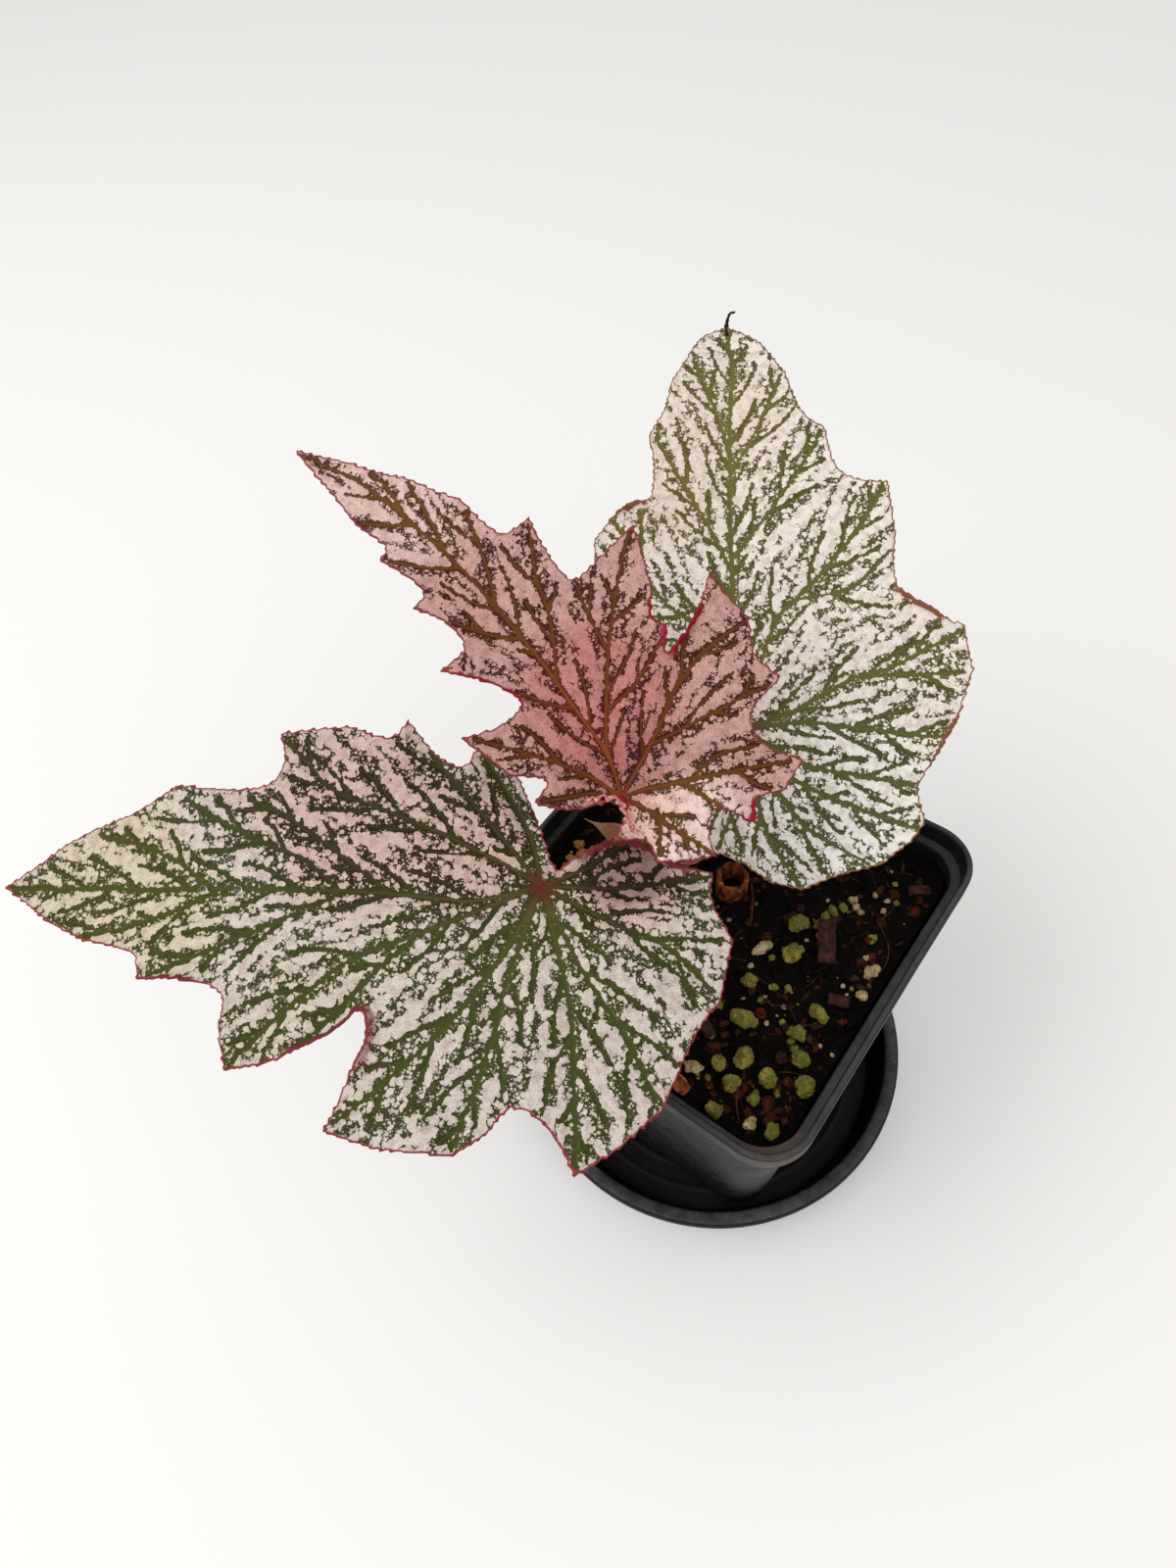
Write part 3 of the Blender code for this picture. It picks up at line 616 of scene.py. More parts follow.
def nearest_segment(points, starts, ends, extra=None):
    """For each row of points, the least distance to a segment, that segment's number, and the place on it."""
    best = np.full(len(points), 1e9)
    which = np.zeros(len(points), int)
    foot = np.zeros((len(points), 2))
    for i, (start, end) in enumerate(zip(starts, ends)):
        side = end - start
        t = np.clip((points - start) @ side / max(side @ side, 1e-9), 0, 1)
        near = start + t[:, None] * side
        away = apart(points, near)
        measured = away if extra is None else away + extra[i]
        closer = measured < best
        best[closer] = measured[closer]
        which[closer] = i
        foot[closer] = near[closer]
    return best, which, foot


def nearest_margin(points, outline):
    """What nearest_segment gives for the sides of a closed outline."""
    return nearest_segment(points, outline, np.roll(outline, -1, axis=0))


def inner_points(grid, outline, clear):
    """The points inside the outline that are more than this far from it."""
    grid = np.array(grid)
    grid = grid[inside_outline(grid, outline)]
    return grid[nearest_margin(grid, outline)[0] > clear]


def staggered(columns, rows, step):
    """Points on even rows, every other row half a step along."""
    return [(x + (i % 2) * step / 2, y) for i, y in enumerate(rows) for x in columns]


def triangulated(points, count, edges=()):
    """Triangles over flat points, of which the first count are a closed outline.

    The edges are kept among the triangles' sides.
    """
    rim = [(i, (i + 1) % count) for i in range(count)]
    verts, _, faces, *_ = delaunay_2d_cdt([Vector(p) for p in points], [*rim, *edges], [], 1, 1e-5)
    return np.array(verts), faces


class Blade:
    """Where a leaf's flat drawing lies in space."""

    def __init__(self, leaf):
        self.base = Vector(leaf["base"])
        along = Vector(leaf["tip"]) - self.base
        self.length = along.length
        self.along = along.normalized()
        up = Vector(leaf["up"])
        self.up = (up - up.dot(self.along) * self.along).normalized()
        self.left = self.up.cross(self.along)
        self.arch = leaf["arch"]
        self.fold, self.crease = leaf["fold"]

    def height(self, x, y):
        """How far the blade's arch and fold lift it off the flat."""
        share = np.maximum(x / self.length, -0.45)
        side = np.hypot(y, self.crease) - self.crease
        return 4 * self.arch * share * (1 - share) + self.fold * side

    def place(self, x, y, lift=0.0):
        """Rows of points in space for arrays of places on the drawing."""
        height = self.height(x, y) + lift
        parts = ((x, self.along), (y, self.left), (height, self.up))
        return np.array(self.base) + sum(np.outer(value, np.array(axis)) for value, axis in parts)

    def normal_at_base(self):
        """The way the blade faces where its stalk meets it."""
        rows = self.place(np.array([1.0, -1.0, 0.0, 0.0]), np.array([0.0, 0.0, 1.0, -1.0]))
        return Vector(rows[0] - rows[1]).cross(Vector(rows[2] - rows[3])).normalized()


THIN_FIRST = 8  # the number of the first point of a vein that sends off a thin one
THIN_EVERY = 6  # points between one thin vein and the next
THIN_LONGEST = 14  # millimetres
THIN_START = 4.5  # millimetres in which a thin vein may be near the one it leaves
THIN_CLEAR = 2.2  # millimetres from a thin vein to the nearest other one
THIN_INSIDE = 2.0  # millimetres from a thin vein to the margin


def small_veins(mains, margin, seed):
    """Thin branches from the main veins, which stop short of the margin and of the next vein."""
    taken = np.array([p for vein in mains for p in vein])
    made = []
    for number, vein in enumerate(mains):
        for i in range(THIN_FIRST, len(vein) - 4, THIN_EVERY):
            start = np.array(vein[i])
            ahead = np.array(vein[i + 1]) - start
            turn = math.radians(38 + 10 * ripple(i, number, seed))
            turn *= 1 if (i // THIN_EVERY + number) % 2 else -1
            heading = math.atan2(ahead[1], ahead[0]) + turn
            path = [start]
            for _ in range(THIN_LONGEST):
                heading -= 0.03 * (1 if turn > 0 else -1)
                point = path[-1] + np.array((math.cos(heading), math.sin(heading)))
                others = taken[apart(taken, start) > THIN_START]
                crowded = apart(others, point).min() < THIN_CLEAR
                if crowded or apart(margin, point).min() < THIN_INSIDE:
                    break
                path.append(point)
            if len(path) > 4:
                made.append(path)
                taken = np.vstack([taken, path[2:]])
    return made


# What the distance from a main, a side and a thin vein is raised by, and their widths as shares
VEIN_EXTRA = (0.0, 0.45, 1.35)
VEIN_WIDTH = (1.0, 0.62, 0.32)
ROW_HEIGHT = 0.866  # of rows of points whose triangles have even sides


class LeafDrawing:
    """A blade's flat mesh, and what is known at each of its points."""

    def __init__(self, kind, leaf, sizes):
        seed = 3.7 * len(kind)
        step = sizes.margin_step / MM
        self.outline = np.array(toothed(margin_points(leaf["margin"], step), sizes.tooth / MM, seed))
        mains = [smooth_path([(0, 0), *vein], 1.0) for vein in leaf["mains"]]
        sides = [smooth_path(vein, 1.0) for vein in leaf["sides"]]
        traced = [*mains, *sides]
        thin = small_veins(traced, self.outline, seed)
        ranks = [0] * len(mains) + [1] * len(sides) + [2] * len(thin)
        self.fill([*traced, *thin], ranks, sizes.spacing / MM, leaf["girth"])
        self.measure()

    def fill(self, veins, ranks, spacing, girth):
        """Triangles between the margin, with the veins along their edges."""
        low = self.outline.min(0)
        high = self.outline.max(0)
        columns = np.arange(low[0], high[0], spacing)
        rows = np.arange(low[1], high[1], spacing * ROW_HEIGHT)
        grid = inner_points(staggered(columns, rows, spacing), self.outline, 0.5 * spacing)
        starts, ends, extra, half, edges = [], [], [], [], []
        points = [*self.outline]
        for vein, rank in zip(veins, ranks):
            path = np.array(vein)
            kept = inside_outline(path, self.outline)
            kept &= nearest_margin(path, self.outline)[0] > 0.6
            kept[0] = True
            last = len(path) if kept.all() else int(np.argmin(kept))
            for i in range(last - 1):
                starts.append(path[i])
                ends.append(path[i + 1])
                extra.append(VEIN_EXTRA[rank] + 0.5 * i / len(path))
                half.append(girth * VEIN_WIDTH[rank] * (1 - 0.7 * i / len(path)))
                edges.append((len(points) + i, len(points) + i + 1))
            points.extend(path[:last])
        self.starts, self.ends = np.array(starts), np.array(ends)
        self.extra, self.half = np.array(extra), np.array(half)
        clear = nearest_segment(grid, self.starts, self.ends)[0] > 0.4 * spacing
        points.extend(grid[clear])
        self.points, self.faces = triangulated(points, len(self.outline), edges)

    def measure(self):
        """Distances to the margin and the veins, the nearest vein's width, and the way the veins run."""
        self.rim, _, self.rim_foot = nearest_margin(self.points, self.outline)
        self.gap = nearest_segment(self.points, self.starts, self.ends, self.extra)[0]
        self.vein, nearest, _ = nearest_segment(self.points, self.starts, self.ends)
        self.width = self.half[nearest]
        # Only main veins, all but their ends, have less than a side vein's raise
        main = self.extra < VEIN_EXTRA[1] + 1e-6
        self.main = nearest_segment(self.points, self.starts[main], self.ends[main])[0]
        self.flow = self.directions()

    def directions(self):
        """The angle of the veins near each point. A vein has no front, so angles are averaged doubled."""
        middles = (self.starts + self.ends) / 2
        sides = self.ends - self.starts
        angles = np.arctan2(sides[:, 1], sides[:, 0])
        lengths = np.hypot(*sides.T) / (1 + self.extra)
        doubled = np.zeros(len(self.points), complex)
        for middle, angle, length in zip(middles, angles, lengths):
            away = apart(self.points, middle)
            doubled += length * np.exp(2j * angle) / (1.0 + (away / 2.5) ** 4)
        return np.angle(doubled) / 2

    def streaks(self, size, reach, seed):
        """Uneven marks drawn out along the veins, with a mean of 0 and a spread of 1."""
        taps = np.linspace(-reach, reach, 9)
        weights = np.cos(taps / reach * math.pi / 2.2)
        made = np.zeros(len(self.points))
        for i, ((x, y), angle) in enumerate(zip(self.points, self.flow)):
            ax = math.cos(angle)
            ay = math.sin(angle)
            for tap, weight in zip(taps, weights):
                made[i] += weight * ripple((x + tap * ax) / size, (y + tap * ay) / size, seed)
        return (made - made.mean()) / made.std()


# ------------------------------------------------------------ leaf blades


def eased(value, low, high):
    """Runs smoothly from 0 at low to 1 at high. Low may be above high."""
    t = np.clip((value - low) / (high - low), 0, 1)
    return t * t * (3 - 2 * t)


def rolled(drawing, rolls):
    """How far each point moves on the drawing and lifts off it where the margin curls up."""
    shift = np.zeros((len(drawing.points), 2))
    lift = np.zeros(len(drawing.points))
    curl = np.zeros(len(drawing.points))
    inward = drawing.points - drawing.rim_foot
    away = np.hypot(*inward.T)
    inward = np.where(away[:, None] > 0.05, inward / np.maximum(away, 1e-6)[:, None], 0.0)
    for x, y, reach, width, degrees in rolls:
        share = eased(apart(drawing.rim_foot, (x, y)), reach, reach * 0.35)
        bend = np.radians(degrees) * np.maximum(share, 1e-3) / width
        run = np.clip(width - drawing.rim, 0, width)
        outward = np.sin(bend * run) / bend - run
        lost = width - np.minimum(1 / bend, width)
        made_up = share * lost * eased(drawing.rim, 3.5 * width, width)
        shift -= inward * (outward + made_up)[:, None]
        lift += (1 - np.cos(bend * run)) / bend
        curl = np.maximum(curl, share * (run > 0.35 * width))
    return shift, lift, curl


def corner_normals(places, faces):
    """The surface's direction at each point, from the triangles round it."""
    corners = places[faces]
    across = np.cross(corners[:, 1] - corners[:, 0], corners[:, 2] - corners[:, 0])
    total = np.zeros_like(places)
    for corner in range(3):
        np.add.at(total, faces[:, corner], across)
    return total / np.maximum(np.linalg.norm(total, axis=1), 1e-12)[:, None]


def boundary_edges(faces):
    """The edges with one face, in that face's direction."""
    seen = {(a, b) for face in faces for a, b in zip(face, (*face[1:], face[0]))}
    return [(a, b) for a, b in seen if (b, a) not in seen]


def write_values(mesh, name, values):
    """Keeps one number, or one row of three, for each vertex."""
    vector = values.ndim == 2
    made = mesh.attributes.new(name, "FLOAT_VECTOR" if vector else "FLOAT", "POINT")
    made.data.foreach_set("vector" if vector else "value", values.astype(np.float32).ravel())


PUCKER_REACH = 1.7  # how far from any vein the blade has risen
PILLOW_REACH = 8.0  # how far from a main vein it has risen


def blade_shape(leaf, sizes, drawing, shift, lift):
    """The places of a blade's points above and below, and its triangles seen from above."""
    pucker = sizes.pucker / MM
    lift = lift + pucker * (1 - np.exp(-((drawing.gap / PUCKER_REACH) ** 2)))
    lift += 1.7 * pucker * (1 - np.exp(-((drawing.main / PILLOW_REACH) ** 2))) - pucker
    waves = [noise.noise(Vector((*foot, 9.0)) * 0.085) for foot in drawing.rim_foot]
    lift += 1.8 * np.array(waves) * eased(drawing.rim, 10, 0)
    top = Blade(leaf).place(*(drawing.points + shift).T, lift)
    faces = np.array(drawing.faces)
    corners = drawing.points[faces]
    turn = np.cross(corners[:, 1] - corners[:, 0], corners[:, 2] - corners[:, 0])
    faces[turn < 0] = faces[turn < 0][:, ::-1]
    rib = np.exp(-((drawing.vein / (0.5 + 0.6 * drawing.width)) ** 2))
    rib *= sizes.rib / MM * drawing.width**1.5
    depth = sizes.thickness / MM + rib * eased(drawing.rim, 0.5, 2.5)
    return top, top - corner_normals(top, faces) * depth[:, None], faces


def silver_level(drawing, cover):
    """How far the marks reach at each point: least on the veins, and in streaks along them."""
    away = eased(drawing.gap, 0.0, 3.4)
    patch = -0.60 + cover + 0.58 * away
    patch += 0.40 * (0.45 + 0.55 * away) * drawing.streaks(2.5, 4.5, 2.0)
    patch += 0.32 * drawing.streaks(1.4, 1.9, 6.0)
    level = 0.42 + 0.52 * (0.5 + 0.5 * np.tanh(2.6 * patch))
    level *= 0.6 + 0.4 * eased(drawing.vein, 0.2 * drawing.width, 0.7 * drawing.width + 0.2)
    return level * eased(drawing.vein, 0.1 * drawing.width, 0.4 * drawing.width)


def tint_level(drawing, tints):
    """Redness with painted shade at each point, painted shadow above 1, and painted light below 0."""
    blush = np.zeros(len(drawing.points))
    sun = np.zeros(len(drawing.points))
    for x, y, reach, amount in tints:
        share = amount * eased(apart(drawing.points, (x, y)), 1.3 * reach, 0.4 * reach)
        blush = np.maximum(blush, share)
        sun = np.minimum(sun, share)
    return blush + sun


def blade_mesh(kind, leaf, sizes, cover):
    """A leaf's closed mesh: material 0 above and on the margin, and material 1 below."""
    drawing = LeafDrawing(kind, leaf, sizes)
    shift, lift, curl = rolled(drawing, leaf["rolls"])
    top, below, faces = blade_shape(leaf, sizes, drawing, shift, lift)
    count = len(top)
    sides = [(b, a, a + count, b + count) for a, b in boundary_edges(faces.tolist())]
    every = [*faces.tolist(), *(faces[:, ::-1] + count).tolist(), *sides]
    mesh = listed(f"{kind} blade", np.vstack([top, below]), every)
    skins = [0] * len(faces) + [1] * len(faces) + [0] * len(sides)
    mesh.polygons.foreach_set("material_index", skins)
    mesh.shade_smooth()
    values = {
        "drawn": np.column_stack([drawing.points, np.zeros(count)]),
        "silver": silver_level(drawing, cover),
        "vein": drawing.vein / (0.3 + drawing.width),
        "width": drawing.width,
        "gap": drawing.gap,
        "rim": drawing.rim,
        "curl": curl,
        # Redness with painted shade above 0, painted shadow above 1, painted light below 0
        "tint": tint_level(drawing, leaf["tints"]),
    }
    for name, value in values.items():
        write_values(mesh, name, np.concatenate([value, value]))
    mesh.validate()
    mesh.update()
    return mesh


# ------------------------------------------------------- leaf materials


# The sets of marks: their share of the cell size, the change to their level and the softness of their edges.
# Large marks join first; finer sets fringe them and dot the bare ground.
MARKS = ((1.7, -0.12, 0.03), (1.0, -0.03, 0.05), (0.6, -0.06, 0.08), (0.36, -0.09, 0.12), (0.22, -0.14, 0.16))


def marking_group():
    """Silver marks that swell into one another away from the veins, on a darker ground, with painted
    highlights and painted shade in a fine grain on the silver.
    """
    tree, given, out = new_group(
        "leaf markings",
        {
            "Drawn": (VECTOR, (0, 0, 0)),
            "Silver Level": (FLOAT, 0.5),
            "Gap": (FLOAT, 2.0),
            "Cell": (FLOAT, 1.25),
            "Silver": (COLOUR, (0.7, 0.65, 0.6, 1)),
            "Ground": (COLOUR, (0.1, 0.1, 0.04, 1)),
        },
        {"Color": COLOUR, "Mask": FLOAT, "Height": FLOAT},
    )
    place = given["Drawn"]
    wander = tree.wander(place, 1.0)
    place = tree.vector("ADD", place, tree.scaled(wander, 0.65))
    masks = []
    for share, lift, soft in MARKS:
        scale = tree.math("DIVIDE", 1.0, tree.times(given["Cell"], share))
        cells = tree.cells(place, scale, 0.95)
        spread = tree.math("MULTIPLY_ADD", tree.chance(cells), 0.75, 0.55)
        reach = tree.times(tree.math("ADD", given["Silver Level"], lift), spread)
        reach = tree.times(reach, 0.95)
        masks.append(tree.step(cells.outputs["Distance"], reach, tree.math("SUBTRACT", reach, soft)))
    mask = masks[0]
    for finer in masks[1:]:
        mask = tree.math("MAXIMUM", mask, finer)
    mottle = tree.noise(place, 0.5, 4, 0.6)
    # Painted highlights and painted shade: a fine grain lightens and darkens the silver as light on a pebbled
    # surface would
    grain = tree.noise(place, 4.0, 2, 0.6)
    deeper_silver = tree.mix(1.0, given["Silver"], (0.76, 0.70, 0.68), "MULTIPLY")
    silver = tree.tint(deeper_silver, given["Silver"], mottle, 0.34, 0.60)
    silver = tree.mix(tree.step(grain, 0.45, 0.70, 0.0, 0.65), silver, (1, 1, 1), "SOFT_LIGHT")
    silver = tree.mix(tree.step(grain, 0.45, 0.25, 0.0, 0.6), silver, deeper_silver, "MULTIPLY")
    silver = tree.mix(tree.spots(place, 1.05, 0.16, 0.04, 0.4), silver, deeper_silver, "MULTIPLY")
    deep = tree.mix(1.0, given["Ground"], (0.55, 0.52, 0.46), "MULTIPLY")
    ground = tree.tint(given["Ground"], deep, given["Gap"], 0.2, 2.2)
    ground = tree.tint(ground, given["Ground"], mottle, 0.42, 0.72)
    tree.feed(out["Color"], tree.mix(mask, ground, silver))
    tree.feed(out["Mask"], mask)
    rough = tree.times(tree.cells(place, 2.4).outputs["Distance"], -0.35)
    fold = tree.times(tree.noise(place, 1.1, 3, 0.6), 0.9)
    height = tree.math("MULTIPLY_ADD", mask, 0.35, tree.math("ADD", rough, fold))
    tree.feed(out["Height"], height)
    return tree.tree


def leaf_top(kind, colours, markings, cell, flush_reach, ridge):
    """The upper side: markings, veins, the tint by the stalk, red patches with painted shade, painted light
    and painted shadow, the line along the margin and curled edges.
    """
    made, tree, shader = new_material(f"{kind} leaf, upper side")
    drawn = tree.attribute("drawn", "Vector")
    tint = tree.attribute("tint")
    # Blush: partly the leaf's own red and partly painted shade
    blush = tree.step(tint, 0.0, 1.0)
    # Painted light where the tint is below 0
    sun = tree.step(tint, 0.0, -1.0)
    silver = tree.mix(blush, colours.silver, colours.blush_silver)
    silver = tree.mix(sun, silver, colours.sun_silver)
    ground = tree.mix(blush, colours.ground, colours.blush_ground)
    ground = tree.mix(sun, ground, colours.sun_ground)
    inputs = {
        "Drawn": drawn,
        "Silver Level": tree.attribute("silver"),
        "Gap": tree.attribute("gap"),
        "Cell": cell,
        "Silver": silver,
        "Ground": ground,
    }
    node = tree.add("ShaderNodeGroup", inputs, node_tree=markings)
    colour = node.outputs["Color"]
    vein = tree.attribute("vein")
    band = tree.step(vein, 0.65, 0.2)
    smooth = tree.mix(0.5, ground, colours.vein)
    colour = tree.mix(tree.times(band, 0.8), colour, smooth)
    strong = tree.step(tree.attribute("width"), 0.45, 0.75, 0.0, ridge)
    crest = tree.times(tree.step(vein, 0.32, 0.08), strong)
    colour = tree.mix(crest, colour, colours.crest)
    reach = tree.length(drawn)
    near = tree.step(reach, flush_reach, 0.15 * flush_reach, 0.0, 0.4)
    colour = tree.mix(near, colour, colours.flush, "OVERLAY")
    # Painted shadow from the leaf above, where the tint is over 1
    colour = tree.mix(tree.step(tint, 1.0, 2.0), colour, (0.34, 0.24, 0.23), "MULTIPLY")
    star = tree.math("MULTIPLY_ADD", tree.noise(drawn, 0.8, 2), 4.0, reach)
    spokes = tree.times(tree.step(star, 7.5, 3.0, 0.0, 0.4), band)
    colour = tree.mix(tree.math("MAXIMUM", tree.step(star, 3.4, 2.2), spokes), colour, colours.flush)
    rim = tree.math("MULTIPLY_ADD", tree.noise(drawn, 0.9, 3), -0.5, tree.attribute("rim"))
    colour = tree.tint(colour, colours.rim, rim, 0.20, -0.1)
    colour = tree.tint(colour, colours.under, tree.attribute("curl"), 0.2, 0.7)
    sunk = tree.times(tree.step(vein, 1.5, 0.0), -0.8)
    height = tree.math("ADD", node.outputs["Height"], sunk)
    gloss = tree.between(node.outputs["Mask"], 0.55, 0.42)
    tree.surface(shader, colour, gloss, height, specular=0.16, strength=0.6, depth=0.25)
    return made


def leaf_underside(kind, colours):
    """The lower side: one deep colour with paler ribs and a fine net of veins."""
    made, tree, shader = new_material(f"{kind} leaf, underside")
    drawn = tree.attribute("drawn", "Vector")
    vein = tree.attribute("vein")
    mottle = tree.noise(drawn, 0.35, 4, 0.6)
    under = colours.under
    dark = tree.mix(1.0, under, (0.42, 0.36, 0.36), "MULTIPLY")
    colour = tree.tint(dark, under, mottle, 0.3, 0.7)
    net = tree.cells(drawn, 0.55, feature="DISTANCE_TO_EDGE")
    thread = tree.step(net.outputs["Distance"], 0.08, 0.02)
    colour = tree.mix(tree.times(thread, 0.35), colour, colours.vein)
    colour = tree.tint(colour, tone(150, 104, 82), vein, 1.3, 0.3, 0.8)
    height = tree.math("MULTIPLY_ADD", thread, 0.6, tree.noise(drawn, 2.2, 3))
    gloss = tree.step(mottle, 0.2, 0.8, 0.45, 0.6)
    tree.surface(shader, colour, gloss, height, specular=0.3, strength=0.5, depth=0.25)
    return made


# For each leaf: the size of its cells, how far the tint round its stalk reaches, how much the silver covers
# more than it would, and how strong the lines along its veins are
LEAF_LOOKS = {
    "front": (1.8, 7.0, -0.28, 0.5),
    "middle": (1.2, 20.0, 0.03, 0.9),
    "back": (1.7, 12.0, -0.12, 0.3),
}


class BEGONIA_OT_leaves(Operator):
    """Build the three spotted leaves"""

    bl_idname = "begonia.leaves"
    bl_label = "Leaves"

    def execute(self, context):
        settings = context.scene.begonia
        markings = marking_group()
        for kind, (cell, flush_reach, cover, ridge) in LEAF_LOOKS.items():
            colours = getattr(settings, kind)
            mesh = blade_mesh(kind, LEAVES[kind], settings.leaf, cover)
            top = leaf_top(kind, colours, markings, cell, flush_reach, ridge)
            skins = [top, leaf_underside(kind, colours)]
            show_mesh(f"{kind}_leaf", mesh, skins, f"leaf_{kind}", f"leaf_{kind}")
        return {"FINISHED"}


# ---------------------------------------------------------- plant fittings

STEM_FOOT = Vector((-20.0, 6.0, 78.0))
STEM_TOP = Vector((-18.0, 1.0, 118.0))
SOIL_TOP = 94.0
# The height and heading at which each leaf stalk leaves the stem, its radius at both ends, and how far below
# the flat of its blade it ends
STALKS = {
    "front": (107, -95, 2.2, 1.7, 1.5),
    "middle": (118, -70, 2.0, 1.5, 2.0),
    "back": (104, 65, 2.1, 1.7, 1.5),
}
STEM_RADIUS = 4.4
KNOTS = (98.5, 105.5, 111.0, 116.0)  # heights of the rings round the stem


def soil_height(x, y):
    """The soil's slow roll, with a low mound round the stem."""
    roll = 0.8 * math.sin(x / 17 + 0.5) * math.cos(y / 15)
    away = math.hypot(x - STEM_FOOT.x, y - STEM_FOOT.y)
    return SOIL_TOP + roll + 2.0 * math.exp(-((away / 14) ** 2))


def stem_axis(height):
    """The middle of the stem at a height. Below the soil it goes straight down."""
    t = max(0.0, (height - SOIL_TOP) / (STEM_TOP.z - SOIL_TOP))
    place = STEM_FOOT.lerp(STEM_TOP, t)
    return Vector((place.x, place.y, height))


def bridge(bm, lower, upper):
    """Faces between two closed rows of vertices. A row of one is a pole."""
    count = max(len(lower), len(upper))
    for i in range(count):
        j = (i + 1) % count
        below = (lower[i % len(lower)], lower[j % len(lower)])
        above = (upper[j % len(upper)], upper[i % len(upper)])
        bm.faces.new(dict.fromkeys((*below, *above)))


def lofted(name, rings):
    """A closed skin through rings of points in millimetres, with equal counts."""
    bm = bmesh.new()
    rows = [[bm.verts.new(Vector(point) * MM) for point in ring] for ring in rings]
    for lower, upper in zip(rows, rows[1:]):
        bridge(bm, lower, upper)
    bm.faces.new(reversed(rows[0]))
    bm.faces.new(rows[-1])
    return finished(name, bm)


def tube_mesh(name, path, radii, sides, wander, seed):
    """A closed round tube along a path, with its own radius at each point and an uneven skin."""
    rings = []
    across = None
    for i, (centre, radius) in enumerate(zip(path, radii)):
        ahead = way_along(path, i)
        if across is None:
            across = ahead.orthogonal().normalized()
        across = (across - across.dot(ahead) * ahead).normalized()
        over = ahead.cross(across)
        ring = []
        for step in range(sides):
            angle = 2 * math.pi * step / sides
            outward = math.cos(angle) * across + math.sin(angle) * over
            bump = wander * noise.noise(centre * 0.45 + outward * 1.4 + Vector((seed, 0, 0)))
            ring.append(centre + outward * radius * (1 + bump))
        rings.append(ring)
    return lofted(name, rings)


def finished(name, bm):
    """Closes a bmesh into a smooth mesh whose faces point outwards."""
    bmesh.ops.recalc_face_normals(bm, faces=bm.faces)
    mesh = bpy.data.meshes.new(name)
    bm.to_mesh(mesh)
    bm.free()
    mesh.shade_smooth()
    mesh.set_sharp_from_angle(angle=math.radians(50))
    return mesh


def stalk_mesh(kind):
    """A leaf's stalk, from inside its collar on the stem to just below the blade."""
    height, heading, start_radius, end_radius, clear = STALKS[kind]
    blade = Blade(LEAVES[kind])
    turn = math.radians(heading)
    outward = Vector((math.cos(turn), math.sin(turn), 0.0))
    start = stem_axis(height) + outward * (STEM_RADIUS - 0.8)
    if height >= STEM_TOP.z:
        outward = (STEM_TOP - stem_axis(SOIL_TOP)).normalized()
        start = STEM_TOP - outward
    normal = blade.normal_at_base()
    end = blade.base - normal * clear
    neck = end - normal * 7
    collar = start + outward * 2.3
    start_bend = collar + outward * 3 + Vector((0, 0, 4))
    path = smooth_path([start, collar, start_bend, start_bend.lerp(neck, 0.5), neck, end], 0.9)
    last = len(path) - 1
    radii = []
    for i in range(len(path)):
        share = i / last
        swell = 0.9 * math.exp(-((share * last / 3.0) ** 2))
        swell += 0.25 * math.exp(-(((1 - share) * last / 2.0) ** 2))
        radii.append(start_radius + (end_radius - start_radius) * share + swell)
    return tube_mesh(f"{kind} stalk", path, radii, sides=20, wander=0.10, seed=len(kind))


def stem_mesh():
    """The fleshy stem, ringed where leaves once stood and narrower at its top."""
    low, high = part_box("stem")
    path = []
    radii = []
    for i in range(81):
        height = (low.z + (high.z - low.z) * i / 80) / MM
        path.append(stem_axis(height))
        ringed = sum(math.exp(-(((height - knot) / 1.1) ** 2)) for knot in KNOTS)
        taper = 1.0 - 0.28 * max(0.0, (height - 100) / 18) ** 2
        radii.append(STEM_RADIUS * (0.88 * taper + 0.11 * ringed))
    radii[0] *= 0.8
    radii[-1] *= 0.7
    return tube_mesh("stem", path, radii, sides=32, wander=0.12, seed=5.0)


def stub_mesh():
    """The dried ring of an old cut stem: lumpy, hollow and uneven along its top."""
    low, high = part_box("dried_stem_stub")
    centre = (low + high) / 2 / MM
    top = high.z / MM
    bottom = low.z / MM
    profile = [
        (2.6, top - 9), (2.9, top - 5), (3.0, top - 2), (3.0, top - 0.8), (3.2, top - 0.1), (3.6, top + 0.15),
        (4.0, top - 0.1), (4.2, top - 0.8), (4.1, top - 2.4), (4.0, top - 4.5), (4.2, top - 6.5),
        (3.6, bottom),
    ]
    rings = []
    for radius, height in profile:
        ring = []
        for spoke in circle(56):
            lump = noise.noise(spoke * 2.6 + Vector((0, 0, height * 0.35)))
            fine = noise.noise(spoke * 7.0 + Vector((0, 4, height * 0.6)))
            jag = 0.9 * noise.noise(spoke * 3.4 + Vector((7, 0, 0))) if height > top - 2.2 else 0.0
            out = radius * (1 + 0.08 * lump + 0.05 * fine)
            ring.append((centre.x + out * spoke.x, centre.y + out * spoke.y, height + jag))
        rings.append(ring)
    return lofted("stub", rings)


STIPULES = {
    "stipule_upper": {
        "base": (-21.3, -2.7, 114),
        "tip": (-24.5, -16.0, 137),
        "up": (0.9, -0.3, 0.2),
        "arch": 0.8,
        "fold": (0.25, 1.5),
        "margin": [
            (27, 0, TIP), (22, 0.4, BEND), (15, 2, BEND), (5, 4, BEND), (0, 1, BEND),
            (0, -1, BEND), (5, -4, BEND), (15, -2, BEND), (22, -0.4, BEND),
        ],
    },
    "stipule_lower": {
        "base": (-15.3, 7.2, 99.0),
        "tip": (-7.5, 9.5, 101.5),
        "up": (-0.2, -0.5, 0.85),
        "arch": 1.0,
        "fold": (0.2, 1.5),
        "margin": [
            (8, 0, TIP), (5, 2.4, BEND), (1, 2.8, BEND), (0, 1, BEND),
            (0, -1, BEND), (1, -2.8, BEND), (5, -2.4, BEND),
        ],
    },
}


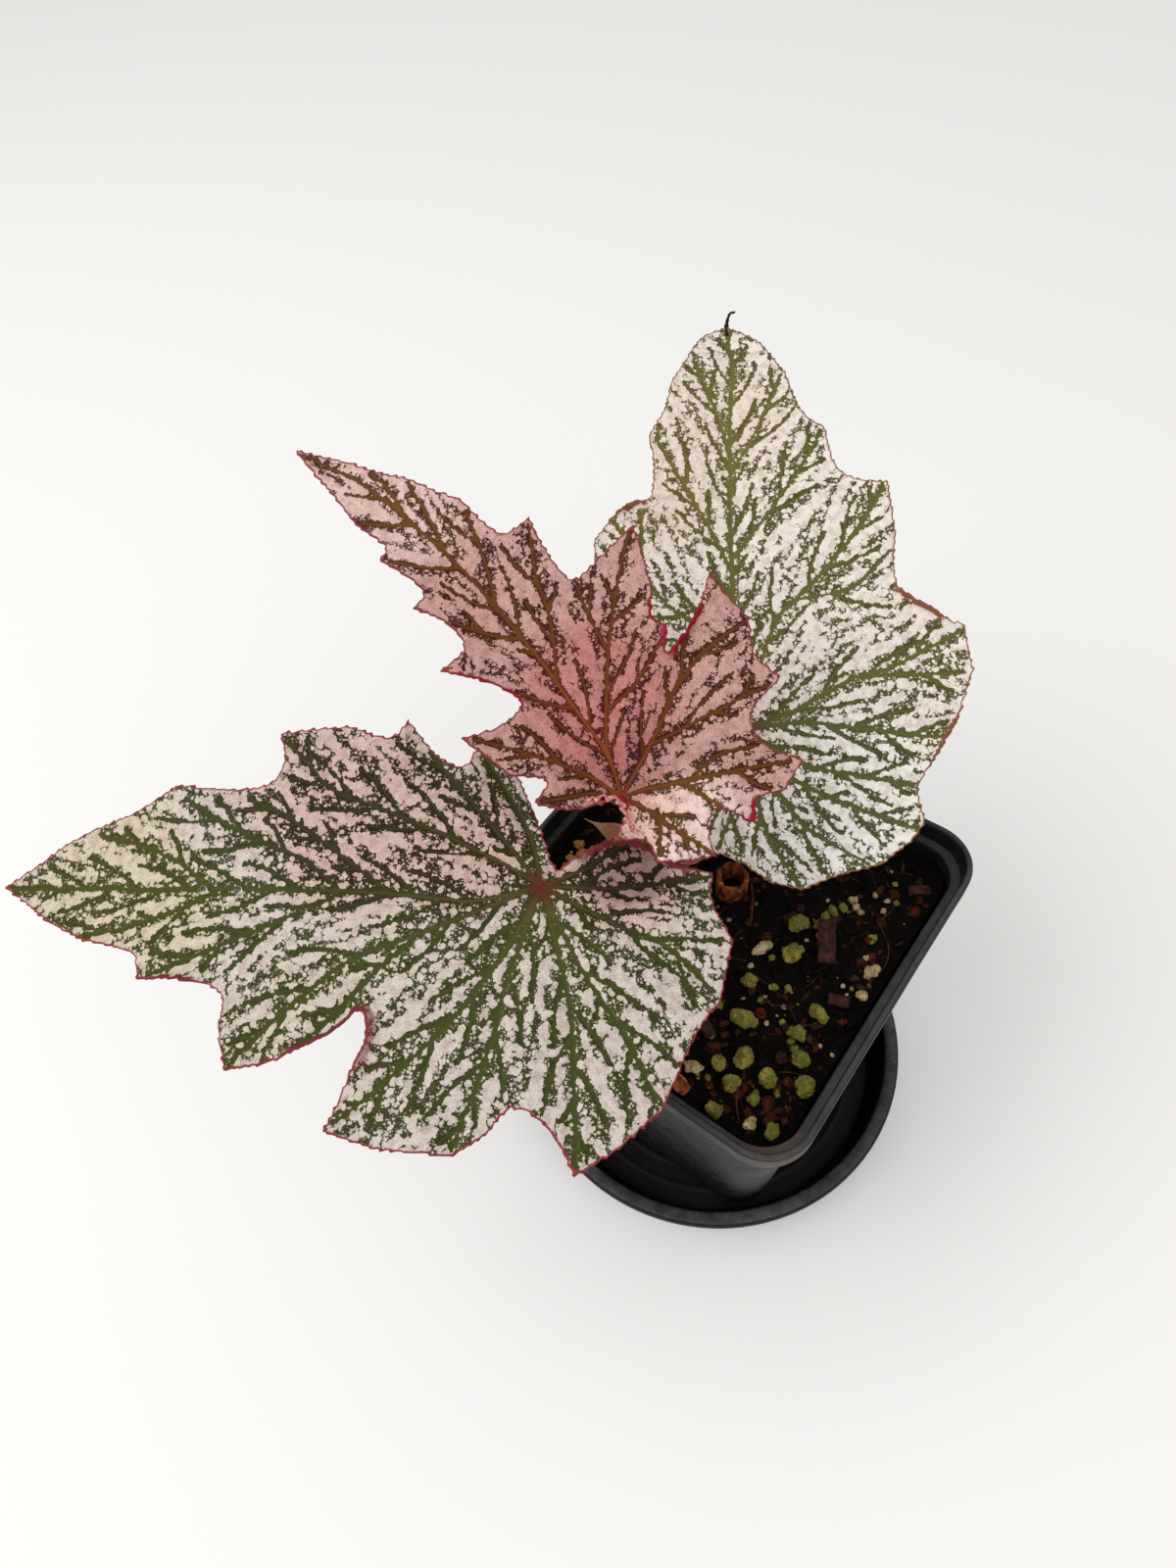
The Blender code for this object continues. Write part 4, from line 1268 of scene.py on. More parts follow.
def bract_mesh(name, drawing):
    """A thin papery scale with a creased middle and a wavy edge."""
    blade = Blade(drawing)
    outline = np.array(margin_points(drawing["margin"], 0.5))
    low = outline.min(0)
    high = outline.max(0)
    columns = np.arange(low[0], high[0], 0.5)
    rows = np.arange(low[1], high[1], 0.5)
    grid = [(x, y) for x in columns for y in rows]
    flat, faces = triangulated([*outline, *inner_points(grid, outline, 0.25)], len(outline))
    lift = np.array([0.5 * ripple(x * 0.3, y * 0.9, 3.0) * abs(y) for x, y in flat])
    mesh = listed(name, blade.place(*flat.T, lift), faces)
    write_values(mesh, "drawn", np.column_stack([flat, np.zeros(len(flat))]))
    return solidified(mesh, 0.3)


def solidified(mesh, thickness):
    """A closed shell of even thickness, half on each side of an open surface."""
    holder = placed("shell", mesh)
    solid = holder.modifiers.new("thickness", "SOLIDIFY")
    solid.thickness = thickness * MM
    solid.offset = 0.0
    made = realised(holder)
    made.shade_smooth()
    return made


def realised(holder):
    """The object's mesh with its modifiers applied. The object is removed."""
    graph = bpy.context.evaluated_depsgraph_get()
    made = bpy.data.meshes.new_from_object(holder.evaluated_get(graph))
    source = holder.data
    bpy.data.objects.remove(holder)
    bpy.data.meshes.remove(source)
    return made


def refined(node, levels, depth, size):
    """A finer copy of a CAD node's mesh, with a rough natural surface of this depth and size."""
    bm = bmesh.new()
    bm.from_mesh(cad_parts[node].data)
    bmesh.ops.remove_doubles(bm, verts=bm.verts, dist=0.001 * MM)
    mesh = bpy.data.meshes.new(node)
    bm.to_mesh(mesh)
    bm.free()
    holder = placed("finer", mesh)
    finer = holder.modifiers.new("finer", "SUBSURF")
    finer.levels = levels
    finer.render_levels = levels
    made = realised(holder)
    made.materials.clear()
    points = np.zeros(len(made.vertices) * 3)
    made.vertices.foreach_get("co", points)
    points = points.reshape(-1, 3)
    normals = np.array([v.normal for v in made.vertices])
    for i, point in enumerate(points):
        spot = Vector([p / MM / size for p in point])
        coarse = noise.noise(spot)
        pits = abs(noise.noise(spot * 2.3 + Vector((5, 5, 5))))
        fine = noise.noise(spot * 5.5)
        rise = depth * (0.9 * coarse - 0.8 * (0.35 - min(pits, 0.35)) + 0.25 * fine)
        points[i] += normals[i] * rise * MM
    made.vertices.foreach_set("co", points.ravel())
    made.shade_smooth()
    made.update()
    return made


# ----------------------------------------------------- natural materials


def fibre_group():
    """Streaks of light and dark along one direction, as in bark, straw and dried stem."""
    tree, given, out = new_group(
        "dry fibres",
        {
            "Place": (VECTOR, (0, 0, 0)),
            "Stretch": (VECTOR, (1, 1, 1)),
            "Size": (FLOAT, 900.0),
            "Light": (COLOUR, (0.5, 0.3, 0.1, 1)),
            "Middle": (COLOUR, (0.3, 0.15, 0.05, 1)),
            "Dark": (COLOUR, (0.1, 0.03, 0.01, 1)),
        },
        {"Color": COLOUR, "Height": FLOAT},
    )
    place = tree.vector("MULTIPLY", given["Place"], given["Stretch"])
    streak = tree.noise(place, given["Size"], 5, 0.65)
    patch = tree.noise(given["Place"], tree.times(given["Size"], 0.35), 3)
    colour = tree.tint(given["Dark"], given["Middle"], streak, 0.35, 0.55)
    colour = tree.tint(colour, given["Light"], streak, 0.52, 0.72)
    colour = tree.tint(colour, given["Dark"], patch, 0.62, 0.4, 0.5)
    tree.feed(out["Color"], colour)
    tree.feed(out["Height"], streak)
    return tree.tree


def fibrous(name, light, middle, dark, size=900.0, stretch=(1, 1, 1)):
    """A dry fibrous material in three colours."""
    made, tree, shader = new_material(name)
    fibres = bpy.data.node_groups.get("dry fibres") or fibre_group()
    place = tree.place()
    values = {"Place": place, "Stretch": stretch, "Size": size}
    values |= {"Light": tone(*light), "Middle": tone(*middle), "Dark": tone(*dark)}
    node = tree.add("ShaderNodeGroup", values, node_tree=fibres)
    colour, height = node.outputs["Color"], node.outputs["Height"]
    tree.surface(shader, colour, 0.8, height, specular=0.25, strength=0.7, depth=0.3)
    return made


def stalk_material():
    """A green and red skin with pale flecks and fine ridges."""
    made, tree, shader = new_material("fleshy stalk")
    place = tree.place()
    along = tree.vector("MULTIPLY", place, (1.0, 1.0, 0.25))
    blush = tree.noise(along, 110.0, 3)
    ridges = tree.noise(along, 1500.0, 2)
    colour = tree.tint(tone(112, 108, 52), tone(132, 62, 48), blush, 0.38, 0.62)
    height = tree.axis(place, 2)
    woody = tree.step(height, 0.104, 0.092, 0.0, 0.85)
    colour = tree.mix(woody, colour, tone(122, 92, 52))
    fleck = tree.spots(along, 700.0, 0.2, 0.1, 0.65)
    colour = tree.mix(fleck, colour, tone(206, 180, 150))
    colour = tree.tint(colour, tone(70, 48, 26), ridges, 0.4, 0.7, 0.3)
    rise = tree.math("MULTIPLY_ADD", fleck, 0.8, ridges)
    gloss = tree.step(ridges, 0.3, 0.7, 0.38, 0.55)
    tree.surface(shader, colour, gloss, rise, specular=0.4, strength=0.5, depth=0.2)
    return made


def grain_material(name, light, middle, hollow, moss):
    """A porous grain: pale ridges, darker hollows and a film of algae."""
    made, tree, shader = new_material(name)
    place = tree.place()
    patch = tree.noise(place, 420.0, 4, 0.6)
    grit = tree.noise(place, 1800.0, 3, 0.7)
    pit = tree.spots(place, 900.0, 0.26, 0.08)
    colour = tree.tint(tone(*middle), tone(*light), patch, 0.36, 0.60)
    colour = tree.tint(colour, tone(*moss), tree.noise(place, 130.0, 2), 0.42, 0.60, 0.75)
    colour = tree.tint(colour, tone(*hollow), grit, 0.55, 0.35, 0.55)
    colour = tree.mix(tree.times(pit, 0.8), colour, tone(*hollow))
    height = tree.math("MULTIPLY_ADD", pit, -1.0, grit)
    gloss = tree.step(grit, 0.3, 0.7, 0.45, 0.75)
    tree.surface(shader, colour, gloss, height, specular=0.35, strength=0.7, depth=0.3)
    return made


def bract_material():
    """A thin tan-pink scale with fine veins along it."""
    made, tree, shader = new_material("papery bract")
    drawn = tree.attribute("drawn", "Vector")
    along = tree.vector("MULTIPLY", drawn, (0.12, 1.6, 1.0))
    streak = tree.noise(along, 2.2, 3)
    colour = tree.tint(tone(168, 96, 62), tone(208, 146, 112), streak, 0.35, 0.65)
    reach = tree.axis(drawn, 0)
    colour = tree.tint(colour, tone(222, 178, 156), reach, 12.0, 26.0, 0.7)
    colour = tree.tint(colour, tone(120, 100, 50), reach, 4.0, 0.0, 0.6)
    gloss = tree.step(streak, 0.3, 0.7, 0.5, 0.65)
    tree.surface(shader, colour, gloss, streak, specular=0.3, strength=0.5, depth=0.15)
    return made


# The curled edge of the middle leaf beside its stalk, on the leaf's drawing
FRILL = [(-9.5, 2.4), (-6.5, 3.4), (-3.6, 2.6), (-1.4, 1.6), (0.4, 2.2), (2.4, 4.4), (3.6, 7.4)]
FRILL_POINTS = 8  # from the leaf's edge to the frill's own


def frill_mesh():
    """A ruffled ribbon that stands on the middle leaf's edge and curls over."""
    blade = Blade(LEAVES["middle"])
    path = smooth_path(FRILL, 0.3)
    rows = []
    for i, point in enumerate(path):
        share = i / (len(path) - 1)
        ahead = way_along(path, i)
        aside = Vector((-ahead.y, ahead.x))
        uneven = 0.8 + 0.5 * ripple(i * 0.22, 1.0, 0.0)
        tall = 2.3 * math.sin(math.pi * share) ** 0.6 * uneven
        row = []
        for step in range(FRILL_POINTS):
            up = step / (FRILL_POINTS - 1)
            ruffle = 1.1 * up * math.sin(i * 0.85 + 2.0 * ripple(i * 0.15, 5.0, 0.0))
            out = 0.9 * tall * (1 - math.cos(1.9 * up)) * 0.5 - 0.6
            spot = point + aside * (out + 0.5 * ruffle) + ahead * 0.4 * ruffle
            row.append((spot.x, spot.y, tall * math.sin(1.9 * up) - 0.9))
        rows.append(row)
    flat = np.array([spot for row in rows for spot in row])
    places = blade.place(*flat.T)
    faces = []
    for i in range(len(rows) - 1):
        for j in range(FRILL_POINTS - 1):
            here = FRILL_POINTS * i + j
            after = here + FRILL_POINTS
            faces.append((here, after, after + 1, here + 1))
    mesh = listed("frill", places, faces)
    write_values(mesh, "edge", np.tile(np.linspace(0, 1, FRILL_POINTS), len(rows)))
    return solidified(mesh, 0.4)


def frill_material(colours):
    """Pink at the ruffled edge, with dots of silver, and deep red at its foot."""
    made, tree, shader = new_material("frilled edge")
    place = tree.place()
    edge = tree.attribute("edge")
    colour = tree.tint(colours.under, tone(196, 116, 112), edge, 0.15, 0.6)
    dot = tree.spots(place, 1100.0, 0.42, 0.34, 0.85)
    colour = tree.mix(tree.times(dot, tree.step(edge, 0.1, 0.4)), colour, tone(226, 180, 174))
    tree.surface(shader, colour, tree.step(edge, 0.0, 1.0, 0.4, 0.55), specular=0.3)
    return made


# Where the water drops lie on the front leaf's drawing, and their radii
DROPS = [
    (56.0, 22.7, 1.3), (71.0, 1.9, 1.0), (63.2, 2.0, 0.9), (73.6, 0.4, 0.6), (58.3, 20.6, 0.6),
    (48.5, 6.5, 0.7),
]


def drops_mesh():
    """Low domes of water that sit on the front leaf."""
    blade = Blade(LEAVES["front"])
    bm = bmesh.new()
    for x, y, radius in DROPS:
        spots = blade.place(np.array([x, x + 1.0, x]), np.array([y, y, y + 1.0]))
        middle, ahead, aside = (Vector(spot) for spot in spots)
        ahead = (ahead - middle).normalized()
        out = ahead.cross(aside - middle).normalized()
        across = out.cross(ahead)
        turn = Matrix((ahead, across, out)).transposed()
        made = bmesh.ops.create_icosphere(bm, subdivisions=3, radius=radius)
        for vert in made["verts"]:
            dome = Vector((vert.co.x, vert.co.y, vert.co.z * 0.55 + 0.1))
            vert.co = (middle + turn @ dome) * MM
    return finished("drops", bm)


def water_material():
    """Still, clear water."""
    made, tree, shader = new_material("clear water")
    values = {"Base Color": (1, 1, 1), "Roughness": 0.02, "IOR": 1.33, "Transmission Weight": 1.0}
    for name, value in values.items():
        tree.feed(shader.inputs[name], value)
    return made


# The dead end of the back leaf on the leaf's drawing, with its height
HOOK = [(109.0, 0.0, -0.3), (111.5, 0.1, 0.0), (113.4, -0.2, 1.0), (114.6, -1.0, 2.6), (114.2, -2.2, 3.4)]


def dried_tip_mesh():
    """The dead, hooked end of the back leaf."""
    blade = Blade(LEAVES["back"])
    path = smooth_path(blade.place(*np.array(HOOK).T), 0.3)
    count = len(path)
    radii = [0.65 - 0.4 * i / count + 0.12 * math.sin(1.3 * i) * (1 - i / count) for i in range(count)]
    return tube_mesh("dried tip", path, radii, sides=10, wander=0.5, seed=2.0)


class BEGONIA_OT_stalks(Operator):
    """Build the stem, the leaf stalks, the bracts and the dried stub"""

    bl_idname = "begonia.stalks"
    bl_label = "Stem and stalks"

    def execute(self, context):
        skin = stalk_material()
        for kind in STALKS:
            show_mesh(f"{kind}_leaf_stalk", stalk_mesh(kind), [skin], "stalk", f"leaf_stalk_{kind}")
        show_mesh("ringed_stem", stem_mesh(), [skin], "stalk", "stem")
        papery = bract_material()
        for name, drawing in STIPULES.items():
            show_mesh(f"papery_{name}", bract_mesh(name, drawing), [papery], "bract", name)
        colours = ((214, 142, 74), (150, 82, 34), (58, 24, 10))
        dry = fibrous("dried stem", *colours, size=700.0, stretch=(1, 1, 0.35))
        show_mesh("old_stem_ring", stub_mesh(), [dry], "dry_stem", "dried_stem_stub")
        black = fibrous("dead leaf tip", (60, 46, 36), (28, 20, 16), (10, 8, 7))
        pink = frill_material(context.scene.begonia.middle)
        show_mesh("frilled_edge", frill_mesh(), [pink], "leaf_middle")
        show_mesh("hooked_dry_tip", dried_tip_mesh(), [black], "leaf_back")
        show_mesh("water_drops", drops_mesh(), [water_material()], "leaf_front")
        return {"FINISHED"}


CLEAN_GRAINS = (4, 9, 16, 19, 20)  # the grains without a film of algae


class BEGONIA_OT_grit(Operator):
    """Build the loose grains, the bark chips and the curled husk on the soil"""

    bl_idname = "begonia.grit"
    bl_label = "Grains and bark"

    def execute(self, context):
        mossy = grain_material("mossy grain", (164, 150, 72), (118, 108, 32), (54, 34, 10), (98, 104, 20))
        clean = grain_material("clean grain", (214, 194, 152), (176, 148, 98), (84, 54, 28), (158, 146, 76))
        for number in range(1, 21):
            node = f"grain_{number:02d}"
            skin = clean if number in CLEAN_GRAINS else mossy
            mesh = refined(node, levels=3, depth=0.8, size=1.6)
            show_mesh(f"porous_{node}", mesh, [skin], "grain", node)
        bark = fibrous("bark", (104, 54, 44), (68, 32, 27), (30, 12, 10), size=600.0)
        for number in range(1, 5):
            node = f"bark_chip_{number}"
            mesh = refined(node, levels=3, depth=0.3, size=2.2)
            show_mesh(f"rough_{node}", mesh, [bark], "bark", node)
        husk = fibrous("husk", (236, 190, 140), (196, 118, 62), (96, 44, 18), size=800.0)
        mesh = refined("curled_husk", levels=2, depth=0.12, size=0.9)
        show_mesh("dry_husk", mesh, [husk], "dry_stem", "curled_husk")
        return {"FINISHED"}


# -------------------------------------------------------- pot and saucer


def rounded_square(half, corner, steps, sides):
    """The points of a square with round corners and divided sides, anticlockwise, about the origin."""

    def spot(quarter, angle):
        """A point of a quarter's round corner."""
        centre = Vector((half - corner, half - corner)) @ Matrix.Rotation(-quarter * math.pi / 2, 2)
        return centre + corner * Vector((math.cos(angle), math.sin(angle)))

    points = []
    for quarter in range(4):
        turn = quarter * math.pi / 2
        points.extend(spot(quarter, turn + step * math.pi / 2 / steps) for step in range(steps + 1))
        first = points[-1]
        last = spot(quarter + 1, turn + math.pi / 2)
        points.extend(first.lerp(last, i / sides) for i in range(1, sides))
    return points


DRAIN_RADIUS = 4.5
DRAINS = ((0, 0), (20.0, 20.0), (-20.0, 20.0), (-20.0, -20.0), (20.0, -20.0))
POT_BOW = 0.55  # how far the middle of a side bows in


def pot_mesh(sizes):
    """The pot, from its foot up the outside, over the lip and down the inside to the floor."""
    low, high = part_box("pot")
    rim = (high.x - low.x) / 2 / MM
    foot = low.z / MM
    tall = (high.z - low.z) / MM
    lip = sizes.lip / MM
    wall = sizes.wall / MM
    shoulder = tall - sizes.collar / MM
    base = sizes.base / MM / 2
    upper = rim - sizes.ledge / MM - 0.3
    floor = 2.0

    def half(height):
        return base + (upper - base) * min(height / shoulder, 1.0)

    # half width, corner radius, height, and whether the sides bow there
    sections = [
        (base - 1.4, 8.4, 0.2, 0), (base - 1.0, 8.7, 0.0, 0), (base - 0.3, 9.0, 0.25, 0),
        (half(1), 9.2, 1.0, 0), (half(6), 9.4, 6.0, 0.2), (half(24), 9.8, 24.0, 0.7),
        (half(50), 10.4, 50.0, 1), (half(76), 10.8, 76.0, 0.8),
        (half(shoulder), 11.2, shoulder - 0.9, 0.3), (half(shoulder) + 0.2, 11.3, shoulder - 0.45, 0.3),
        (rim - 0.8, 11.8, shoulder - 0.35, 0.3), (rim - 0.45, 11.9, shoulder - 0.1, 0.3),
        (rim - 0.3, 12.0, shoulder + 0.7, 0.3), (rim - 0.1, 12.2, tall - 1.0, 0.3),
        (rim - 0.1, 12.2, tall - 0.45, 0.3), (rim - 0.3, 12.0, tall - 0.12, 0.3),
        (rim - 0.65, 11.7, tall, 0.3), (rim - lip + 0.5, 10.9, tall, 0.3),
        (rim - lip + 0.15, 10.5, tall - 0.2, 0.3), (rim - lip, 10.4, tall - 0.6, 0.3),
        (rim - lip - 0.25, 10.4, shoulder + 1.6, 0.3), (rim - lip - 0.4, 10.3, shoulder + 1.0, 0.3),
        (half(shoulder) - wall + 0.3, 9.7, shoulder + 0.8, 0.3),
        (half(shoulder) - wall, 9.6, shoulder + 0.5, 0.3),
        (half(shoulder) - wall - 0.2, 9.4, shoulder - 0.8, 0.3), (half(76) - wall, 9.0, 76.0, 0.8),
        (half(50) - wall, 8.6, 50.0, 1), (half(24) - wall, 8.2, 24.0, 0.7),
        (half(5) - wall, 7.8, 5.0, 0.2), (half(floor) - wall, 7.6, floor + 0.8, 0),
        (half(floor) - wall - 0.8, 7.0, floor, 0),
    ]
    rings = []
    for size, corner, height, bowed in sections:
        ring = []
        for point in rounded_square(size, corner, 12, 12):
            along = min(abs(point.x), abs(point.y)) / size
            bow = POT_BOW * bowed * max(0.0, 1 - (along / 0.8) ** 2)
            sway = 0.18 * bowed * ripple(point.x * 0.05, point.y * 0.05, height * 0.02)
            scale = 1 - (bow + sway) / size
            if abs(point.x) > abs(point.y):
                ring.append((point.x * scale, point.y, foot + height))
            else:
                ring.append((point.x, point.y * scale, foot + height))
        rings.append(ring)
    mesh = lofted("pot", rings)
    drains = bmesh.new()
    for x, y in DRAINS:
        bmesh.ops.create_cone(
            drains,
            cap_ends=True,
            segments=32,
            radius1=DRAIN_RADIUS * MM,
            radius2=DRAIN_RADIUS * MM,
            depth=8.0 * MM,
            matrix=Matrix.Translation(Vector((x, y, foot + 1.0)) * MM),
        )
    holder = placed("pot body", mesh)
    cutter = placed("drain holes", finished("drain holes", drains))
    cut = holder.modifiers.new("drains", "BOOLEAN")
    cut.operation = "DIFFERENCE"
    cut.solver = "EXACT"
    cut.object = cutter
    made = realised(holder)
    bpy.data.objects.remove(cutter)
    made.materials.clear()
    made.shade_smooth()
    made.set_sharp_from_angle(angle=math.radians(40))
    return made


def saucer_mesh(sizes):
    """The saucer's profile, with shallow rings on its floor, turned once round."""
    low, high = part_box("saucer")
    rim = (high.x - low.x) / 2 / MM
    top = high.z / MM
    lip = sizes.saucer_lip / MM
    inner = rim - lip
    ringed = [(8.0 + 0.6 * i, 2.0 + 0.22 * max(0.0, math.cos(math.pi * i / 5)) ** 4) for i in range(68)]
    # radius and height, over the floor, up to the lip, over it and down the outside
    profile = [
        (0.0, 2.0), *ringed, (49.6, 2.0), (50.2, 2.15), (50.9, 2.8), (51.3, 4.0),
        (inner - 0.5, top - 1.5), (inner - 0.2, top - 0.7), (inner + 0.4, top - 0.2), (inner + 1.2, top),
        (rim - 1.2, top), (rim - 0.5, top - 0.2), (rim - 0.1, top - 0.7), (rim, top - 1.4), (rim, top - 2.5),
        (rim - 0.3, top - 2.8), (rim - 1.0, top - 2.7), (rim - 1.6, top - 1.8), (inner + 2.0, top - 1.9),
        (inner + 1.4, top - 2.6), (52.6, 2.2), (52.0, 0.9), (51.0, 0.1), (50.0, 0.0), (47.5, 0.0),
        (47.0, 0.5), (0.0, 0.5),
    ]
    bm = bmesh.new()
    steps = 120
    rows = []
    for radius, height in profile:
        turns = [2 * math.pi * i / steps for i in range(steps)] if radius else [0.0]
        ring = [Vector((radius * math.cos(turn), radius * math.sin(turn), height)) for turn in turns]
        rows.append([bm.verts.new(point * MM) for point in ring])
    for inner, outer in zip(rows, rows[1:]):
        bridge(bm, inner, outer)
    return finished("saucer", bm)


def plastic_group():
    """Moulded plastic: a fine satin grain, rubbed patches and settled dust."""
    tree, given, out = new_group(
        "moulded plastic",
        {
            "Place": (VECTOR, (0, 0, 0)),
            "Plastic": (COLOUR, (0.02, 0.02, 0.02, 1)),
            "Dust": (COLOUR, (0.3, 0.27, 0.24, 1)),
            "Dustiness": (FLOAT, 0.2),
        },
        {"Color": COLOUR, "Roughness": FLOAT, "Height": FLOAT},
    )
    place = given["Place"]
    grain = tree.noise(place, 2600.0, 2)
    patchy = tree.noise(place, 60.0, 5, 0.65)
    drift = tree.noise(place, 240.0, 4, 0.7)
    specks = tree.cells(place, 330.0)
    chosen = tree.step(tree.chance(specks), 0.86, 0.9)
    speck = tree.times(tree.step(specks.outputs["Distance"], 0.13, 0.05), chosen)
    film = tree.times(tree.step(drift, 0.48, 0.75), given["Dustiness"])
    colour = tree.mix(film, given["Plastic"], given["Dust"])
    colour = tree.mix(tree.times(speck, 0.8), colour, given["Dust"])
    tree.feed(out["Color"], colour)
    rough = tree.step(patchy, 0.35, 0.7, 0.36, 0.56)
    tree.feed(out["Roughness"], tree.math("MAXIMUM", rough, tree.times(speck, 0.9)))
    tree.feed(out["Height"], tree.math("MULTIPLY_ADD", speck, 2.0, grain))
    return tree.tree


def plastic_material(name, plastic, dustiness, lip_highlight, lip, smear=None):
    """Plastic with a painted highlight on the top of the lip, and a brown smear of wet peat where the pot has
    one.
    """
    made, tree, shader = new_material(name)
    place = tree.place()
    dust = tone(150, 138, 126)
    values = {"Place": place, "Plastic": plastic, "Dust": dust, "Dustiness": dustiness}
    group = bpy.data.node_groups.get("moulded plastic") or plastic_group()
    node = tree.add("ShaderNodeGroup", values, node_tree=group)
    colour = node.outputs["Color"]
    if smear:
        away = tree.length(tree.vector("SUBTRACT", place, smear))
        ragged = tree.math("MULTIPLY_ADD", tree.noise(place, 700.0, 4, 0.7), 0.012, away)
        mark = tree.step(ragged, 0.016, 0.010, 0.0, 0.6)
        colour = tree.mix(mark, colour, tone(96, 72, 64))
    # Painted highlight: paler patches on the upward faces of the lip's top
    facing = tree.axis(tree.add("ShaderNodeNewGeometry").outputs["Normal"], 2)
    level = tree.axis(place, 2)
    high = tree.step(level, lip - 3 * MM, lip - 1.5 * MM)
    upper = tree.times(tree.step(facing, 0.75, 0.97), high)
    patchy = tree.step(tree.noise(place, 160.0, 4, 0.7), 0.3, 0.7, 0.2, lip_highlight)
    colour = tree.mix(tree.times(upper, patchy), colour, tone(96, 98, 98))
    rough, height = node.outputs["Roughness"], node.outputs["Height"]
    tree.surface(shader, colour, rough, height, specular=0.25, strength=0.35, depth=0.1)
    return made


class BEGONIA_OT_pot(Operator):
    """Build the square nursery pot"""

    bl_idname = "begonia.pot"
    bl_label = "Pot"

    def execute(self, context):
        sizes = context.scene.begonia.holder
        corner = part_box("pot")[1]
        smear = (corner.x - 7 * MM, -corner.y + 7 * MM, corner.z - 5 * MM)
        skin = plastic_material(
            "pot plastic", sizes.pot_colour, dustiness=0.08, lip_highlight=0.45, lip=corner.z - 4 * MM, smear=smear
        )
        show_mesh("nursery_pot", pot_mesh(sizes), [skin], "pot", "pot")
        return {"FINISHED"}


class BEGONIA_OT_saucer(Operator):
    """Build the round saucer"""

    bl_idname = "begonia.saucer"
    bl_label = "Saucer"

    def execute(self, context):
        sizes = context.scene.begonia.holder
        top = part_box("saucer")[1].z
        # The saucer's colour holds painted shade
        skin = plastic_material("saucer plastic", sizes.saucer_shaded_colour, dustiness=0.03, lip_highlight=0.6, lip=top)
        show_mesh("round_saucer", saucer_mesh(sizes), [skin], "saucer", "saucer")
        return {"FINISHED"}


# ------------------------------------------------------------------- soil


def rough_soil(x, y):
    """The soil's surface with its lumps and hollows."""
    spot = Vector((x, y, 0.0))
    lumps = 1.3 * noise.noise(spot * 0.16) + 0.9 * abs(noise.noise(spot * 0.36 + Vector((9, 0, 0))))
    fine = 0.55 * noise.noise(spot * 0.9) + 0.3 * noise.noise(spot * 2.1)
    return soil_height(x, y) + lumps + fine - 0.8


def soil_mesh():
    """The root ball: a lumpy top on plain sides, which the pot hides."""
    low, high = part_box("soil")
    half = (high.x - low.x) / 2 / MM
    outline = np.array(rounded_square(half, 7.8, 10, 60))
    step = 0.95
    span = np.arange(-half, half, step)
    grid = inner_points(staggered(span, span, step), outline, 0.5 * step)
    count = len(outline)
    flat, faces = triangulated([*outline, *grid], count)
    bm = bmesh.new()
    top = [bm.verts.new(Vector((x, y, rough_soil(x, y))) * MM) for x, y in flat]
    for face in faces:
        bm.faces.new([top[i] for i in face])
    rim = top[:count]
    for share, height in ((0.985, SOIL_TOP - 8), (0.80, low.z / MM)):
        row = [bm.verts.new((v.co.x * share, v.co.y * share, height * MM)) for v in rim]
        bridge(bm, rim, row)
        rim = row
    bm.faces.new(rim)
    return finished("root ball", bm)


MOST_TILT = 0.6  # radians that a strewn piece leans
MOSTLY_SMALL = 2.4  # the power that makes small pieces commoner than large ones


def scatter_tree(name, skin, model):
    """Strews copies of one small shape over a surface, each turned, sized and roughened in its own way."""
    inputs = {
        "Geometry": (MESH, None),
        "Density": (FLOAT, 1e5),
        "Smallest": (FLOAT, 0.5),
        "Largest": (FLOAT, 1.0),
        "Sink": (FLOAT, 0.0),
        "Rough": (FLOAT, 0.3 * MM),
        "Seed": ("NodeSocketInt", 1),
    }
    tree, given, out = new_group(name, inputs, {"Geometry": MESH}, "GeometryNodeTree")
    chosen = tree.add(
        "GeometryNodeDistributePointsOnFaces",
        {"Mesh": given["Geometry"], "Density": given["Density"], "Seed": given["Seed"]},
    )
    turn = tree.add(
        "FunctionNodeRandomValue",
        {0: (-MOST_TILT, -MOST_TILT, 0.0), 1: (MOST_TILT, MOST_TILT, 6.283), "Seed": given["Seed"]},
        data_type="FLOAT_VECTOR",
    )
    share = tree.math("POWER", tree.draw(7), MOSTLY_SMALL)
    size = tree.between(share, given["Smallest"], given["Largest"])
    places = {"Points": chosen.outputs["Points"], "Rotation": turn.outputs[0], "Scale": size}
    strewn = tree.add("GeometryNodeInstanceOnPoints", {"Instance": model(tree), **places})
    marked = tree.add(
        "GeometryNodeStoreNamedAttribute",
        {"Geometry": strewn.outputs[0], "Name": "hue", "Value": tree.draw(11)},
        domain="INSTANCE",
    )
    whole = tree.add("GeometryNodeRealizeInstances", {"Geometry": marked.outputs[0]})
    place = tree.add("GeometryNodeInputPosition").outputs[0]
    wander = tree.wander(place, 750.0)
    drop = tree.add("ShaderNodeCombineXYZ", {2: given["Sink"]}).outputs[0]
    offset = tree.vector("SUBTRACT", tree.scaled(wander, given["Rough"]), drop)
    shaped = tree.add("GeometryNodeSetPosition", {"Geometry": whole.outputs[0], "Offset": offset})
    coated = tree.add("GeometryNodeSetMaterial", {"Geometry": shaped.outputs[0], "Material": skin})
    tree.feed(out["Geometry"], coated.outputs[0])
    return tree.tree


def lump_model(shape):
    """A small ball pressed into the given proportions."""

    def build(tree):
        ball = tree.add("GeometryNodeMeshIcoSphere", {"Radius": MM, "Subdivisions": 2})
        pressing = {"Geometry": ball.outputs[0], "Scale": shape}
        return tree.add("GeometryNodeTransform", pressing).outputs[0]

    return build


